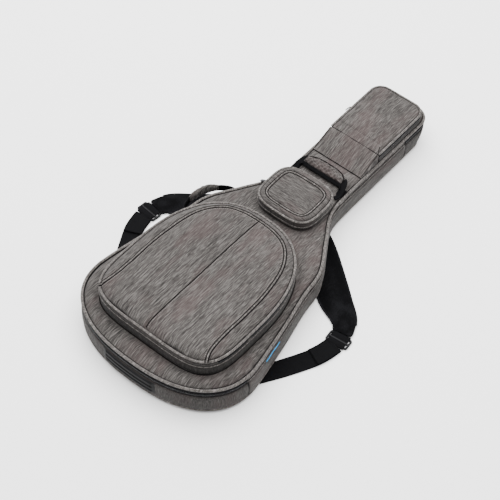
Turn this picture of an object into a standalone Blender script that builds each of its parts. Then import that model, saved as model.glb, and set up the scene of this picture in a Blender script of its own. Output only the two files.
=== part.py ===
"""Padded guitar gig bag, lying on its back with its front up.

Frame: metres, +X to the right, +Y from the bottom end to the head, +Z up and out of the front.
The origin is on the underside of the strap yoke, on the centre line: the bag lies on z = 0 on its
straps and yoke, and the back panel's outer face is one strap layer above that.

Plan places are given as (x, station): station is the distance from the bottom end along the bag.
Back-side pieces are built in the bag's frame, where z = 0 is the back panel's outer face. Front-side
pieces are built flat on the front plane, where z = 0 is the lid's outer face; that plane slopes down
towards the head.
"""
import math

import bmesh
import bpy
from mathutils import Matrix, Vector
from mathutils.geometry import convex_hull_2d

# ---------------------------------------------------------------- overall sizes
BAG_LENGTH = 1.030
BAG_HALF_WIDTH = 0.230
DEPTH_AT_BOTTOM = 0.0835
DEPTH_AT_HEAD = 0.0694
ORIGIN_STATION = 0.600

# outline of the bag, from the bottom end up one side
BOUT_STATION = 0.155
BOTTOM_POWER = 2.35
HIP = (0.2093, 0.283)
WAIST = (0.1870, 0.386)
UPPER_BOUT = (0.1737, 0.464)
SHOULDER = (0.1300, 0.541)
NECK_ROOT = (0.0872, 0.618)
NECK_HALF_WIDTH = 0.0800
NECK_STATION = 0.700
HEAD_CORNER_RADIUS = 0.042

# ---------------------------------------------------------------- skins, seams and clearances
GAP = 0.0003
SEAM_GAP = 0.0006
PANEL_THICKNESS = 0.010
BACK_THICKNESS = 0.009
LINING_THICKNESS = 0.0015
WALL_THICKNESS = 0.006
PIPING_RADIUS = 0.0035
WALL_INSET = 2 * PIPING_RADIUS - WALL_THICKNESS
POCKET_PIPING_RADIUS = 0.0028
POCKET_WALL_THICKNESS = 0.0035
POCKET_WALL_INSET = 0.0010
POCKET_TAPE_INSET = 0.0015
TAPE_THICKNESS = 0.0020
TAPE_INSET = 0.0030
LINING_GAP = 0.004
ZIP_HALF_HEIGHT = 0.0082
BOTTOM_SEAM_STATION = 0.138
SHOULDER_SEAM_STATION = 0.600
HEAD_SEAM_FROM_END = 0.110
HEAD_LEAN = 0.032

# ---------------------------------------------------------------- large pocket
LARGE_HALF_WIDTH = 0.183
LARGE_BOTTOM = 0.057
LARGE_WIDEST = 0.232
LARGE_TOP = 0.475
LARGE_BOTTOM_POWER = 4.5
LARGE_TOP_POWER = 2.4
LARGE_WALL_HEIGHT = 0.030
LARGE_ZIP_HEIGHT = 0.008
LARGE_PANEL_THICKNESS = 0.009
LARGE_CROWN = 0.010
LARGE_CROWN_INSET = 0.045
LARGE_ZIP_END_STATION = 0.105

# ---------------------------------------------------------------- small pocket
SMALL_HALF_WIDTH = 0.081
SMALL_BOTTOM = 0.513
SMALL_TOP = 0.655
SMALL_POWER = 3.4
SMALL_BASE_HEIGHT = 0.0065
SMALL_ZIP_HEIGHT = 0.006
SMALL_CAP_HEIGHT = 0.011
SMALL_PANEL_THICKNESS = 0.007
SMALL_CROWN = 0.004
SMALL_WELT_INSET = 0.018
SMALL_WELT_RADIUS = 0.0022

# ---------------------------------------------------------------- head pocket
HEAD_POCKET_HALF_WIDTH = 0.0745
HEAD_POCKET_END_MARGIN = 0.020
HEAD_POCKET_CORNER_RADIUS = 0.034
RAMP_SEAM_FROM_END = 0.218
RAMP_LENGTH = 0.066
HEAD_WALL_HEIGHT = 0.0135
HEAD_ZIP_HEIGHT = 0.006
HEAD_PANEL_THICKNESS = 0.009
RAMP_THICKNESS = 0.003
HEAD_ZIP_FROM_SEAM = 0.004

# ---------------------------------------------------------------- zip sliders
SLIDER_LENGTH = 0.013
SLIDER_HEIGHT = 0.0085
SLIDER_DEPTH = 0.0045
SLIDER_CLEARANCE = 0.0010
LONG_PULL = 0.030
SHORT_PULL = 0.020
PULL_WIDTH = 0.008
PULL_THICKNESS = 0.0022
PULL_HEAD = 0.0008
MAIN_SLIDERS_FROM_END = (0.240, 0.218)
LARGE_SLIDER_STATION = 0.225
SMALL_SLIDER_STATION = 0.584
HEAD_SLIDER_FROM_END = 0.130

# ---------------------------------------------------------------- carry handles
HANDLE_WEBBING_THICKNESS = 0.003
HANDLE_WEBBING_WIDTH = 0.020
GRIP_CLEARANCE = 0.0004
GRIP_WALL = 0.0045
GRIP_UNDER = 0.0015
HANDLE_BULGE_POWER = 0.55
HANDLE_STEPS = 16
GRIP_STEPS = 10
FRONT_HANDLE_HALF_SPAN = 0.060
FRONT_HANDLE_FROM_POCKET = 0.022
FRONT_HANDLE_REACH = 0.029
FRONT_HANDLE_RISE = 0.0020
FRONT_GRIP_HALF_LENGTH = 0.044
SIDE_HANDLE_LOW_STATION = 0.405
SIDE_HANDLE_HIGH_STATION = 0.535
SIDE_HANDLE_REACH = 0.040
SIDE_HANDLE_HEIGHT = 0.044
SIDE_HANDLE_SWING_ROOM = 0.0095
SIDE_GRIP_HALF_LENGTH = 0.040
BASE_THICKNESS = 0.0022
BASE_WIDTH = 0.025
BASE_OVERHANG = 0.014

# ---------------------------------------------------------------- shoulder straps
STRAP_LAYER = 0.006
PAD_THICKNESS = 0.012
WEBBING_THICKNESS = 0.0025
WEBBING_HALF_WIDTH = 0.0235
PAD_PATH = ((0.046, 0.600), (0.098, 0.562), (0.160, 0.512), (0.215, 0.470), (0.262, 0.440), (0.286, 0.405))
PAD_HALF_WIDTHS = (0.032, 0.038, 0.040, 0.038, 0.030, 0.024)
PAD_STEPS = 3
PAD_FREE_SHARE = 0.55
WEBBING_PATH = ((0.2790, 0.326), (0.2590, 0.284), (0.2360, 0.243), (0.2060, 0.195))
LOCK_DIRECTION = (0.10, -0.995)
LOCK_LENGTH = 0.030
LOCK_HALF_WIDTH = 0.029
LOCK_THICKNESS = 0.0055
LOCK_BAR = 0.005
LOCK_GAP = 0.0026
WEBBING_STEPS = 4
ANCHOR_TAB_INNER_X = 0.150
ANCHOR_TAB_STATIONS = (0.172, 0.262)
ANCHOR_TAB_TAPER = 0.020
YOKE_HALF_WIDTH = 0.041
YOKE_STATIONS = (0.566, 0.640)

# ---------------------------------------------------------------- bottom bumper, tag, inner fittings
BUMPER_HALF_WIDTH = 0.075
BUMPER_BOTTOM = 0.016
BUMPER_TOP = 0.054
BUMPER_THICKNESS = 0.0016
RIB_COUNT = 3
RIB_HEIGHT = 0.006
RIB_DEPTH = 0.0016
RIB_END_MARGIN = 0.006
TAG_STATIONS = (0.205, 0.262)
TAG_HEIGHT = 0.008
TAG_THICKNESS = 0.0010
CRADLE_STATIONS = (0.640, 0.700)
CRADLE_HALF_WIDTH = 0.066
CRADLE_HEIGHT = 0.036
CRADLE_GROOVE_RADIUS = 0.030
CRADLE_GROOVE_RISE = 0.004
CRADLE_BEVEL = 0.003
END_PAD_STATIONS = (0.016, 0.044)
END_PAD_HALF_WIDTH = 0.060
END_PAD_HEIGHT = 0.034
END_PAD_BEVEL = 0.004

# ---------------------------------------------------------------- derived places
SLOPE = (DEPTH_AT_BOTTOM - DEPTH_AT_HEAD) / BAG_LENGTH
SLOPE_ANGLE = math.atan(SLOPE)
LID_UNDER = -PANEL_THICKNESS
TAPE_TOP = LID_UNDER - GAP
TAPE_SPLIT = TAPE_TOP - ZIP_HALF_HEIGHT
WALL_TOP = TAPE_SPLIT - GAP - ZIP_HALF_HEIGHT - GAP
HINGE_WALL_TOP = TAPE_SPLIT - GAP
PIPING_LEVEL = -PIPING_RADIUS
FLOOR = -STRAP_LAYER
HEAD_SEAM = BAG_LENGTH - HEAD_SEAM_FROM_END
OUT_LEFT = Vector((-1, 0, 0))
ALONG_BAG = Vector((0, 1, 0))
LINING_TOP = BACK_THICKNESS + GAP + LINING_THICKNESS

# ---------------------------------------------------------------- finishes: colour, roughness, metallic
FINISHES = {
    "heather_fabric": ((0.23, 0.20, 0.185), 0.92, 0.0),
    "piping_fabric": ((0.27, 0.245, 0.23), 0.85, 0.0),
    "lining_fabric": ((0.12, 0.12, 0.125), 0.95, 0.0),
    "webbing": ((0.016, 0.016, 0.018), 0.80, 0.0),
    "strap_mesh": ((0.020, 0.020, 0.023), 0.90, 0.0),
    "zip_tape": ((0.013, 0.013, 0.014), 0.85, 0.0),
    "zip_metal": ((0.050, 0.050, 0.055), 0.35, 0.9),
    "black_plastic": ((0.018, 0.018, 0.020), 0.45, 0.0),
    "bumper_rubber": ((0.014, 0.014, 0.016), 0.60, 0.0),
    "foam": ((0.060, 0.060, 0.065), 0.95, 0.0),
    "tag_fabric": ((0.000, 0.330, 0.560), 0.70, 0.0),
}


# ================================================================= outlines
class Loop:
    """A closed outline in plan, run anticlockwise from the bottom centre, symmetric about x = 0."""

    def __init__(self, half):
        left = [(-x, station) for x, station in reversed(half[1:-1])]
        self.points = [Vector(point) for point in list(half) + left]
        self.measure()

    def measure(self):
        ends = self.points[1:] + self.points[:1]
        self.starts = [0.0]
        for a, b in zip(self.points, ends):
            self.starts.append(self.starts[-1] + (b - a).length)
        self.total = self.starts[-1]

    def inset(self, distance):
        """The same outline moved inwards by a distance."""
        count = len(self.points)
        moved = []
        for i, point in enumerate(self.points):
            before = (point - self.points[i - 1]).normalized()
            after = (self.points[(i + 1) % count] - point).normalized()
            inward = Vector((-(before.y + after.y), before.x + after.x)).normalized()
            lean = inward.dot(Vector((-after.y, after.x)))
            moved.append(point + inward * distance / max(lean, 0.5))
        loop = Loop.__new__(Loop)
        loop.points = moved
        loop.measure()
        return loop

    def place(self, side, station):
        """Distance along the outline at which one side, 1 right or -1 left, reaches a station."""
        half = len(self.points) // 2
        for i in range(half):
            a, b = self.points[i], self.points[i + 1]
            if a.y <= station <= b.y and b.y > a.y:
                share = (station - a.y) / (b.y - a.y)
                distance = self.starts[i] + share * (b - a).length
                return distance if side > 0 else -distance
        return self.total / 2 * side

    def at(self, distance):
        distance %= self.total
        for i, start in enumerate(self.starts[:-1]):
            if distance <= self.starts[i + 1]:
                a, b = self.points[i], self.points[(i + 1) % len(self.points)]
                return a.lerp(b, (distance - start) / (self.starts[i + 1] - start))
        return self.points[0].copy()

    def run(self, first, last):
        """Points from one distance to a later one, ends included."""
        corners = []
        for turn in (-1, 0, 1):
            for i, start in enumerate(self.starts[:-1]):
                distance = start + turn * self.total
                if first + 0.0015 < distance < last - 0.0015:
                    corners.append((distance, self.points[i]))
        corners.sort(key=lambda pair: pair[0])
        return [self.at(first)] + [point for _, point in corners] + [self.at(last)]


def quarter(half_width, depth, power, steps):
    """Superellipse quarter from (0, 0) out to (half_width, depth), end excluded."""
    points = []
    for i in range(steps):
        angle = math.pi / 2 * i / steps
        x = half_width * math.sin(angle) ** (2 / power)
        points.append((x, depth * (1 - math.cos(angle) ** (2 / power))))
    return points


def smooth_run(knots, steps):
    """Catmull-Rom points through the knots; the first and last knots only steer."""
    points = []
    for a, b, c, d in zip(knots, knots[1:], knots[2:], knots[3:]):
        a, b, c, d = Vector(a), Vector(b), Vector(c), Vector(d)
        for i in range(steps):
            t = i / steps
            point = 2 * b + (c - a) * t + (2 * a - 5 * b + 4 * c - d) * t ** 2
            points.append(tuple((point + (3 * b - a - 3 * c + d) * t ** 3) / 2))
    return points


def rounded_end(half_width, end, radius, steps):
    """Corner arc from the straight side to the end, then the middle of the end."""
    points = []
    for i in range(steps + 1):
        angle = math.pi / 2 * i / steps
        x = half_width - radius + radius * math.cos(angle)
        points.append((x, end - radius + radius * math.sin(angle)))
    return points + [(0.0, end)]


def bag_outline():
    bout = (BAG_HALF_WIDTH, BOUT_STATION)
    steer = (BAG_HALF_WIDTH, BOUT_STATION - 0.10)
    neck = (NECK_HALF_WIDTH, NECK_STATION)
    after_neck = (NECK_HALF_WIDTH, NECK_STATION + 0.10)
    knots = [steer, bout, HIP, WAIST, UPPER_BOUT, SHOULDER, NECK_ROOT, neck, after_neck]
    half = quarter(BAG_HALF_WIDTH, BOUT_STATION, BOTTOM_POWER, 13)
    half += smooth_run(knots, 4) + [neck]
    half += rounded_end(NECK_HALF_WIDTH, BAG_LENGTH, HEAD_CORNER_RADIUS, 5)
    return Loop(half)


def egg_outline(half_width, bottom, widest, top, bottom_power, top_power, steps):
    lower = quarter(half_width, widest - bottom, bottom_power, steps)
    upper = quarter(half_width, top - widest, top_power, steps)
    half = [(x, bottom + depth) for x, depth in lower]
    half += [(half_width, widest)]
    half += [(x, top - depth) for x, depth in reversed(upper)]
    return Loop(half)


# ================================================================= making objects
def collection_named(name):
    collection = bpy.data.collections.new(name)
    bpy.context.scene.collection.children.link(collection)
    return collection


def frame_empty(name, matrix, parent=None):
    """A frame that pieces are built in: a child's coordinates are the frame's own."""
    empty = bpy.data.objects.new(name, None)
    PARTS.objects.link(empty)
    empty.empty_display_size = 0.03
    empty.parent = parent
    empty.matrix_basis = matrix
    return empty


def joint_empty(name, matrix, parent):
    """A joint's axis as an empty; what hangs on it keeps the coordinates of the frame above."""
    empty = frame_empty(name, matrix)
    attach(empty, parent)
    empty["joint"] = True
    return empty


def attach(child, parent):
    child.parent = parent
    if parent.get("joint"):
        child.matrix_parent_inverse = parent.matrix_basis.inverted()


def finish(obj, parent, kind, smooth=True):
    """Give an object its collection, parent and its own material."""
    if obj.name not in PARTS.objects:
        PARTS.objects.link(obj)
    attach(obj, parent)
    colour, roughness, metallic = FINISHES[kind]
    material = bpy.data.materials.new(obj.name)
    material.use_nodes = True
    shader = material.node_tree.nodes["Principled BSDF"]
    shader.inputs["Base Color"].default_value = (*colour, 1.0)
    shader.inputs["Roughness"].default_value = roughness
    shader.inputs["Metallic"].default_value = metallic
    obj.data.materials.append(material)
    if smooth and obj.type == "MESH":
        obj.data.shade_smooth()
        obj.data.set_sharp_from_angle(angle=math.radians(35))
    return obj


def mesh_object(name, bm):
    mesh = bpy.data.meshes.new(name)
    bm.to_mesh(mesh)
    bm.free()
    return bpy.data.objects.new(name, mesh)


def panel(name, loop, low, high, parent, kind):
    """Flat plate with the loop's outline between two heights."""
    curve = bpy.data.curves.new(name, "CURVE")
    curve.dimensions = "2D"
    curve.fill_mode = "BOTH"
    curve.extrude = (high - low) / 2
    spline = curve.splines.new("POLY")
    spline.points.add(len(loop.points) - 1)
    for target, point in zip(spline.points, loop.points):
        target.co = (point.x, point.y, 0.0, 1.0)
    spline.use_cyclic_u = True
    obj = bpy.data.objects.new(name, curve)
    obj.location.z = (high + low) / 2
    return finish(obj, parent, kind)


def crowned_panel(name, loop, low, high, border, rise, parent, kind):
    """Plate whose top steps up to a raised middle inside a sloping border."""
    bm = bmesh.new()
    base = bm.faces.new([bm.verts.new((p.x, p.y, low)) for p in loop.points])
    lifted = bmesh.ops.extrude_face_region(bm, geom=[base])["geom"]
    top = next(item for item in lifted if isinstance(item, bmesh.types.BMFace))
    bmesh.ops.translate(bm, verts=top.verts, vec=(0, 0, high - low))
    bmesh.ops.inset_individual(bm, faces=[top], thickness=border, depth=rise)
    bmesh.ops.recalc_face_normals(bm, faces=bm.faces)
    return finish(mesh_object(name, bm), parent, kind)


def band(name, path, low, high, thickness, parent, kind, closed=False):
    """Upright strip along a plan path, thickened inwards; low and high are heights at a point."""
    bm = bmesh.new()
    bottom = [bm.verts.new((p.x, p.y, low(p))) for p in path]
    top = [bm.verts.new((p.x, p.y, high(p))) for p in path]
    last = len(path) if closed else len(path) - 1
    for i in range(last):
        j = (i + 1) % len(path)
        bm.faces.new((bottom[i], bottom[j], top[j], top[i]))
    obj = mesh_object(name, bm)
    solid = obj.modifiers.new("thickness", "SOLIDIFY")
    solid.thickness = thickness
    solid.offset = -1.0
    solid.use_even_offset = True
    return finish(obj, parent, kind)


def flat(height):
    """A height that is the same everywhere."""
    return lambda point: height


def under_front(level):
    """A height measured from the sloping front plane, for pieces built in the bag's frame."""
    return lambda point: DEPTH_AT_BOTTOM - SLOPE * point.y + level


def piping(name, loop, height, radius, parent, step=1):
    """Round cord along a closed outline."""
    curve = bpy.data.curves.new(name, "CURVE")
    curve.dimensions = "3D"
    curve.bevel_depth = radius
    curve.bevel_resolution = 1
    curve.use_fill_caps = True
    points = loop.points[::step]
    spline = curve.splines.new("POLY")
    spline.points.add(len(points) - 1)
    for target, point in zip(spline.points, points):
        target.co = (point.x, point.y, height, 1.0)
    spline.use_cyclic_u = True
    return finish(bpy.data.objects.new(name, curve), parent, "piping_fabric")


def box(name, low, high, parent, kind, bevel=0.0):
    """Block between two corners, with its edges rounded by a bevel."""
    bm = bmesh.new()
    bmesh.ops.create_cube(bm, size=1.0)
    size = Vector(high) - Vector(low)
    bmesh.ops.scale(bm, vec=size, verts=bm.verts)
    obj = mesh_object(name, bm)
    obj.location = (Vector(high) + Vector(low)) / 2
    if bevel:
        rounding = obj.modifiers.new("rounding", "BEVEL")
        rounding.width = bevel
        rounding.segments = 1
    return finish(obj, parent, kind)


def cut(target, cutter):
    """Take the cutter's shape out of the target."""
    PARTS.objects.unlink(cutter)
    CUTTERS.objects.link(cutter)
    cutter.hide_render = True
    cutter.display_type = "WIRE"
    boolean = target.modifiers.new(cutter.name, "BOOLEAN")
    boolean.operation = "DIFFERENCE"
    boolean.solver = "EXACT"
    boolean.object = cutter


def ribbon(name, path, half_widths, low, highs, parent, kind, first_along=None, last_along=None):
    """Flat strap lofted along a plan path, with its own half width and top height at each point."""
    bm = bmesh.new()
    rings = []
    for i, point in enumerate(path):
        before, after = path[max(i - 1, 0)], path[min(i + 1, len(path) - 1)]
        along = (after - before).normalized()
        if first_along and i == 0:
            along = first_along
        if last_along and i == len(path) - 1:
            along = last_along
        side = Vector((along.y, -along.x)) * half_widths[i]
        left, right, high = point - side, point + side, highs[i]
        corners = ((left, low), (right, low), (right, high), (left, high))
        rings.append([bm.verts.new((place.x, place.y, height)) for place, height in corners])
    for a, b in zip(rings, rings[1:]):
        for i in range(4):
            j = (i + 1) % 4
            bm.faces.new((a[i], a[j], b[j], b[i]))
    bm.faces.new(rings[0])
    bm.faces.new(rings[-1])
    bmesh.ops.recalc_face_normals(bm, faces=bm.faces)
    return finish(mesh_object(name, bm), parent, kind)


# ================================================================= bag shell
def make_back(origin):
    """Back panel, its lining and its piping, all carried by the bag's own frame."""
    edge = 2 * PIPING_RADIUS + SEAM_GAP
    panel("back_panel", OUTLINE.inset(edge), 0.0, BACK_THICKNESS, origin, "heather_fabric")
    lining_edge = WALL_INSET + WALL_THICKNESS + SEAM_GAP
    low = BACK_THICKNESS + GAP
    panel("back_lining", OUTLINE.inset(lining_edge), low, LINING_TOP, origin, "lining_fabric")
    piping("back_piping", OUTLINE.inset(PIPING_RADIUS), PIPING_RADIUS, PIPING_RADIUS, origin)


def make_walls(origin):
    """Side walls between the back piping and the main zip, sewn from six stretches."""
    line = OUTLINE.inset(WALL_INSET)
    low = flat(2 * PIPING_RADIUS + GAP)
    seams = {}
    for side in (1, -1):
        for station in (BOTTOM_SEAM_STATION, SHOULDER_SEAM_STATION, HEAD_SEAM):
            seams[side, station] = line.place(side, station)
    around = line.total
    stretches = (
        ("gusset_bottom", seams[-1, BOTTOM_SEAM_STATION], seams[1, BOTTOM_SEAM_STATION], WALL_TOP),
        ("gusset_body_right", seams[1, BOTTOM_SEAM_STATION], seams[1, SHOULDER_SEAM_STATION], HINGE_WALL_TOP),
        ("gusset_neck_right", seams[1, SHOULDER_SEAM_STATION], seams[1, HEAD_SEAM], HINGE_WALL_TOP),
        ("gusset_head", seams[1, HEAD_SEAM], around + seams[-1, HEAD_SEAM], WALL_TOP),
        ("gusset_neck_left", seams[-1, HEAD_SEAM], seams[-1, SHOULDER_SEAM_STATION], WALL_TOP),
        ("gusset_body_left", seams[-1, SHOULDER_SEAM_STATION], seams[-1, BOTTOM_SEAM_STATION], WALL_TOP),
    )
    for name, first, last, top in stretches:
        path = line.run(first + SEAM_GAP / 2, last - SEAM_GAP / 2)
        band(name, path, low, under_front(top), WALL_THICKNESS, origin, "heather_fabric")


def lean_head_end(names):
    """Lean the head's end wall in towards the back: nothing at the zip and the seam, most at the back."""
    for name in names:
        obj = bpy.data.objects[name]
        if obj.type == "MESH":
            bpy.context.view_layer.update()
            solid = obj.evaluated_get(bpy.context.evaluated_depsgraph_get())
            obj.data = bpy.data.meshes.new_from_object(solid)
            obj.modifiers.clear()
        points = obj.data.vertices if obj.type == "MESH" else obj.data.splines[0].points
        for point in points:
            x, station, height = point.co[:3]
            top = under_front(WALL_TOP)(Vector((x, station)))
            along = (station - HEAD_SEAM) / HEAD_SEAM_FROM_END
            down = 1 - height / top
            if along > 0 and down > 0:
                point.co[1] = station - HEAD_LEAN * along * down


def make_main_zip(origin, front, lid):
    """Two zip tapes round the bottom, left side and head, and the plain hinge strip on the right."""
    line = OUTLINE.inset(TAPE_INSET)
    start = line.place(1, HEAD_SEAM) - line.total
    end = line.place(1, BOTTOM_SEAM_STATION)
    path = line.run(start + SEAM_GAP / 2, end - SEAM_GAP / 2)
    lower = under_front(WALL_TOP + GAP)
    upper = under_front(TAPE_SPLIT - GAP)
    band("main_zip_lower_tape", path, lower, upper, TAPE_THICKNESS, origin, "zip_tape")
    band("main_zip_upper_tape", path, flat(TAPE_SPLIT), flat(TAPE_TOP), TAPE_THICKNESS, lid, "zip_tape")
    strip = line.run(end + SEAM_GAP / 2, start + line.total - SEAM_GAP / 2)
    band("lid_hinge_strip", strip, flat(TAPE_SPLIT), flat(TAPE_TOP), TAPE_THICKNESS, front, "heather_fabric")


def lid_axis():
    """Where the lid folds: the longest straight edge round the right side of its piping."""
    line = OUTLINE.inset(PIPING_RADIUS)
    right = [point for point in line.points if point.x >= 0]
    hull = [right[i] for i in convex_hull_2d(right)]
    edges = [(a, b) for a, b in zip(hull, hull[1:] + hull[:1]) if min(a.x, b.x) > PIPING_RADIUS]
    a, b = max(edges, key=lambda edge: (edge[1] - edge[0]).length)
    low, high = sorted((a, b), key=lambda point: point.y)
    along = (high - low).to_3d().normalized()
    across = along.cross(Vector((0, 0, 1)))
    place = low.to_3d() + Vector((0, 0, PIPING_LEVEL))
    turn = Matrix((across, along, Vector((0, 0, 1)))).transposed().to_4x4()
    return Matrix.Translation(place) @ turn


def make_lid(lid):
    edge = 2 * PIPING_RADIUS + SEAM_GAP
    panel("lid_panel", OUTLINE.inset(edge), LID_UNDER, 0.0, lid, "heather_fabric")
    lining_top = LID_UNDER - GAP
    lining_edge = TAPE_INSET + TAPE_THICKNESS + LINING_GAP
    inside = OUTLINE.inset(lining_edge)
    panel("lid_lining", inside, lining_top - LINING_THICKNESS, lining_top, lid, "lining_fabric")
    piping("lid_piping", OUTLINE.inset(PIPING_RADIUS), PIPING_LEVEL, PIPING_RADIUS, lid)


# ================================================================= zip sliders
def slider(name, joint_place, outward, along, parent, pull_length=LONG_PULL, drop=LONG_PULL):
    """A zip slider on its chain and the pull that swings on it.

    joint_place is on the chain's outer face; outward and along are unit vectors in the parent's
    frame. The slider slides along. Its pull hangs down beside the wall from a hinge, or leans
    outwards where the surface below is nearer than the pull is long; drop is how far it can hang.
    """
    up = outward.cross(along)
    if up.z < 0:
        up = -up
    turn = Matrix((along, outward, up)).transposed().to_4x4()
    place = Matrix.Translation(joint_place + outward * (SLIDER_CLEARANCE + SLIDER_DEPTH / 2)) @ turn
    runner = joint_empty(name + "_slide", place, parent)
    half = Vector((SLIDER_LENGTH, SLIDER_DEPTH, SLIDER_HEIGHT)) / 2
    body = box(name, -half, half, runner, "zip_metal", bevel=0.0009)
    body.matrix_basis = place
    lean = math.acos(min(drop / pull_length, 1.0))
    step_out = SLIDER_DEPTH / 2 + GAP + PULL_THICKNESS / 2 + PULL_HEAD * math.sin(lean)
    pivot = place @ Matrix.Translation((0, step_out, SLIDER_HEIGHT / 4))
    hinge = joint_empty(name + "_pull_hinge", pivot, runner)
    low = Vector((-PULL_WIDTH / 2, -PULL_THICKNESS / 2, -pull_length))
    high = Vector((PULL_WIDTH / 2, PULL_THICKNESS / 2, PULL_HEAD))
    tab = box(name + "_pull", low, high, hinge, "zip_metal", bevel=0.0006)
    swing = Matrix.Rotation(lean, 4, "X")
    tab.matrix_basis = pivot @ swing @ Matrix.Translation((low + high) / 2)


def make_main_sliders(origin):
    """Two sliders parked head to head on the straight left side of the neck."""
    line = OUTLINE.inset(TAPE_INSET)
    for name, from_end in zip(("main_slider_lower", "main_slider_upper"), MAIN_SLIDERS_FROM_END):
        point = line.at(line.place(-1, BAG_LENGTH - from_end))
        height = under_front(TAPE_SPLIT - GAP / 2)(point)
        slider(name, Vector((point.x, point.y, height)), OUT_LEFT, ALONG_BAG, origin)


# ================================================================= pockets on the lid
def make_large_pocket(lid):
    """Large pocket: fixed wall and zip, and a panel that folds down about its bottom edge."""
    wall_top = GAP + LARGE_WALL_HEIGHT
    zip_top = wall_top + GAP + LARGE_ZIP_HEIGHT
    panel_low = zip_top + GAP
    panel_top = panel_low + LARGE_PANEL_THICKNESS
    rim = LARGE_OUTLINE.inset(POCKET_PIPING_RADIUS)
    axis_height = panel_top - POCKET_PIPING_RADIUS
    place = Matrix.Translation((0, rim.points[0].y, axis_height))
    hinge = joint_empty("large_pocket_hinge", place, lid)
    wall = LARGE_OUTLINE.inset(POCKET_WALL_INSET)
    band("large_pocket_wall", wall.points, flat(GAP), flat(wall_top), POCKET_WALL_THICKNESS, lid,
         "heather_fabric", closed=True)
    line = LARGE_OUTLINE.inset(POCKET_TAPE_INSET)
    start = line.place(1, LARGE_ZIP_END_STATION)
    end = line.total + line.place(-1, LARGE_ZIP_END_STATION)
    low, high = flat(wall_top + GAP), flat(zip_top)
    zip_path = line.run(start + SEAM_GAP / 2, end - SEAM_GAP / 2)
    band("large_pocket_zip", zip_path, low, high, TAPE_THICKNESS, lid, "zip_tape")
    strip = line.run(end - line.total + SEAM_GAP / 2, start - SEAM_GAP / 2)
    band("large_pocket_hinge_strip", strip, low, high, TAPE_THICKNESS, lid, "heather_fabric")
    edge = 2 * POCKET_PIPING_RADIUS + SEAM_GAP
    crowned_panel("large_pocket_panel", LARGE_OUTLINE.inset(edge), panel_low, panel_top, LARGE_CROWN_INSET,
                  LARGE_CROWN, hinge, "heather_fabric")
    piping("large_pocket_piping", rim, axis_height, POCKET_PIPING_RADIUS, hinge)
    point = line.at(line.place(-1, LARGE_SLIDER_STATION))
    height = wall_top + GAP + LARGE_ZIP_HEIGHT / 2
    slider("large_pocket_slider", Vector((point.x, point.y, height)), OUT_LEFT, ALONG_BAG, lid)


def make_small_pocket(lid):
    """Small pocket: fixed base and zip, and a deep cap that folds about its top edge."""
    base_top = GAP + SMALL_BASE_HEIGHT
    zip_top = base_top + GAP + SMALL_ZIP_HEIGHT
    cap_low = zip_top + GAP
    panel_low = cap_low + SMALL_CAP_HEIGHT + GAP
    panel_top = panel_low + SMALL_PANEL_THICKNESS
    rim = SMALL_OUTLINE.inset(POCKET_PIPING_RADIUS)
    axis_height = panel_top - POCKET_PIPING_RADIUS
    place = Matrix.Translation((0, max(point.y for point in rim.points), axis_height))
    hinge = joint_empty("small_pocket_hinge", place, lid)
    wall = SMALL_OUTLINE.inset(POCKET_WALL_INSET)
    band("small_pocket_base", wall.points, flat(GAP), flat(base_top), POCKET_WALL_THICKNESS, lid,
         "heather_fabric", closed=True)
    line = SMALL_OUTLINE.inset(POCKET_TAPE_INSET)
    band("small_pocket_zip", line.points, flat(base_top + GAP), flat(zip_top), TAPE_THICKNESS, lid,
         "zip_tape", closed=True)
    band("small_pocket_cap_wall", wall.points, flat(cap_low), flat(cap_low + SMALL_CAP_HEIGHT),
         POCKET_WALL_THICKNESS, hinge, "heather_fabric", closed=True)
    edge = 2 * POCKET_PIPING_RADIUS + SEAM_GAP
    crowned_panel("small_pocket_panel", SMALL_OUTLINE.inset(edge), panel_low, panel_top,
                  SMALL_WELT_INSET - edge, SMALL_CROWN, hinge, "heather_fabric")
    piping("small_pocket_piping", rim, axis_height, POCKET_PIPING_RADIUS, hinge)
    welt_height = panel_top + SMALL_CROWN + GAP + SMALL_WELT_RADIUS
    piping("small_pocket_welt", SMALL_OUTLINE.inset(SMALL_WELT_INSET + SMALL_WELT_RADIUS), welt_height,
           SMALL_WELT_RADIUS, hinge)
    point = line.at(line.place(-1, SMALL_SLIDER_STATION))
    height = base_top + GAP + SMALL_ZIP_HEIGHT / 2
    place = Vector((point.x, point.y, height))
    slider("small_pocket_slider", place, OUT_LEFT, ALONG_BAG, lid, SHORT_PULL, height)


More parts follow.
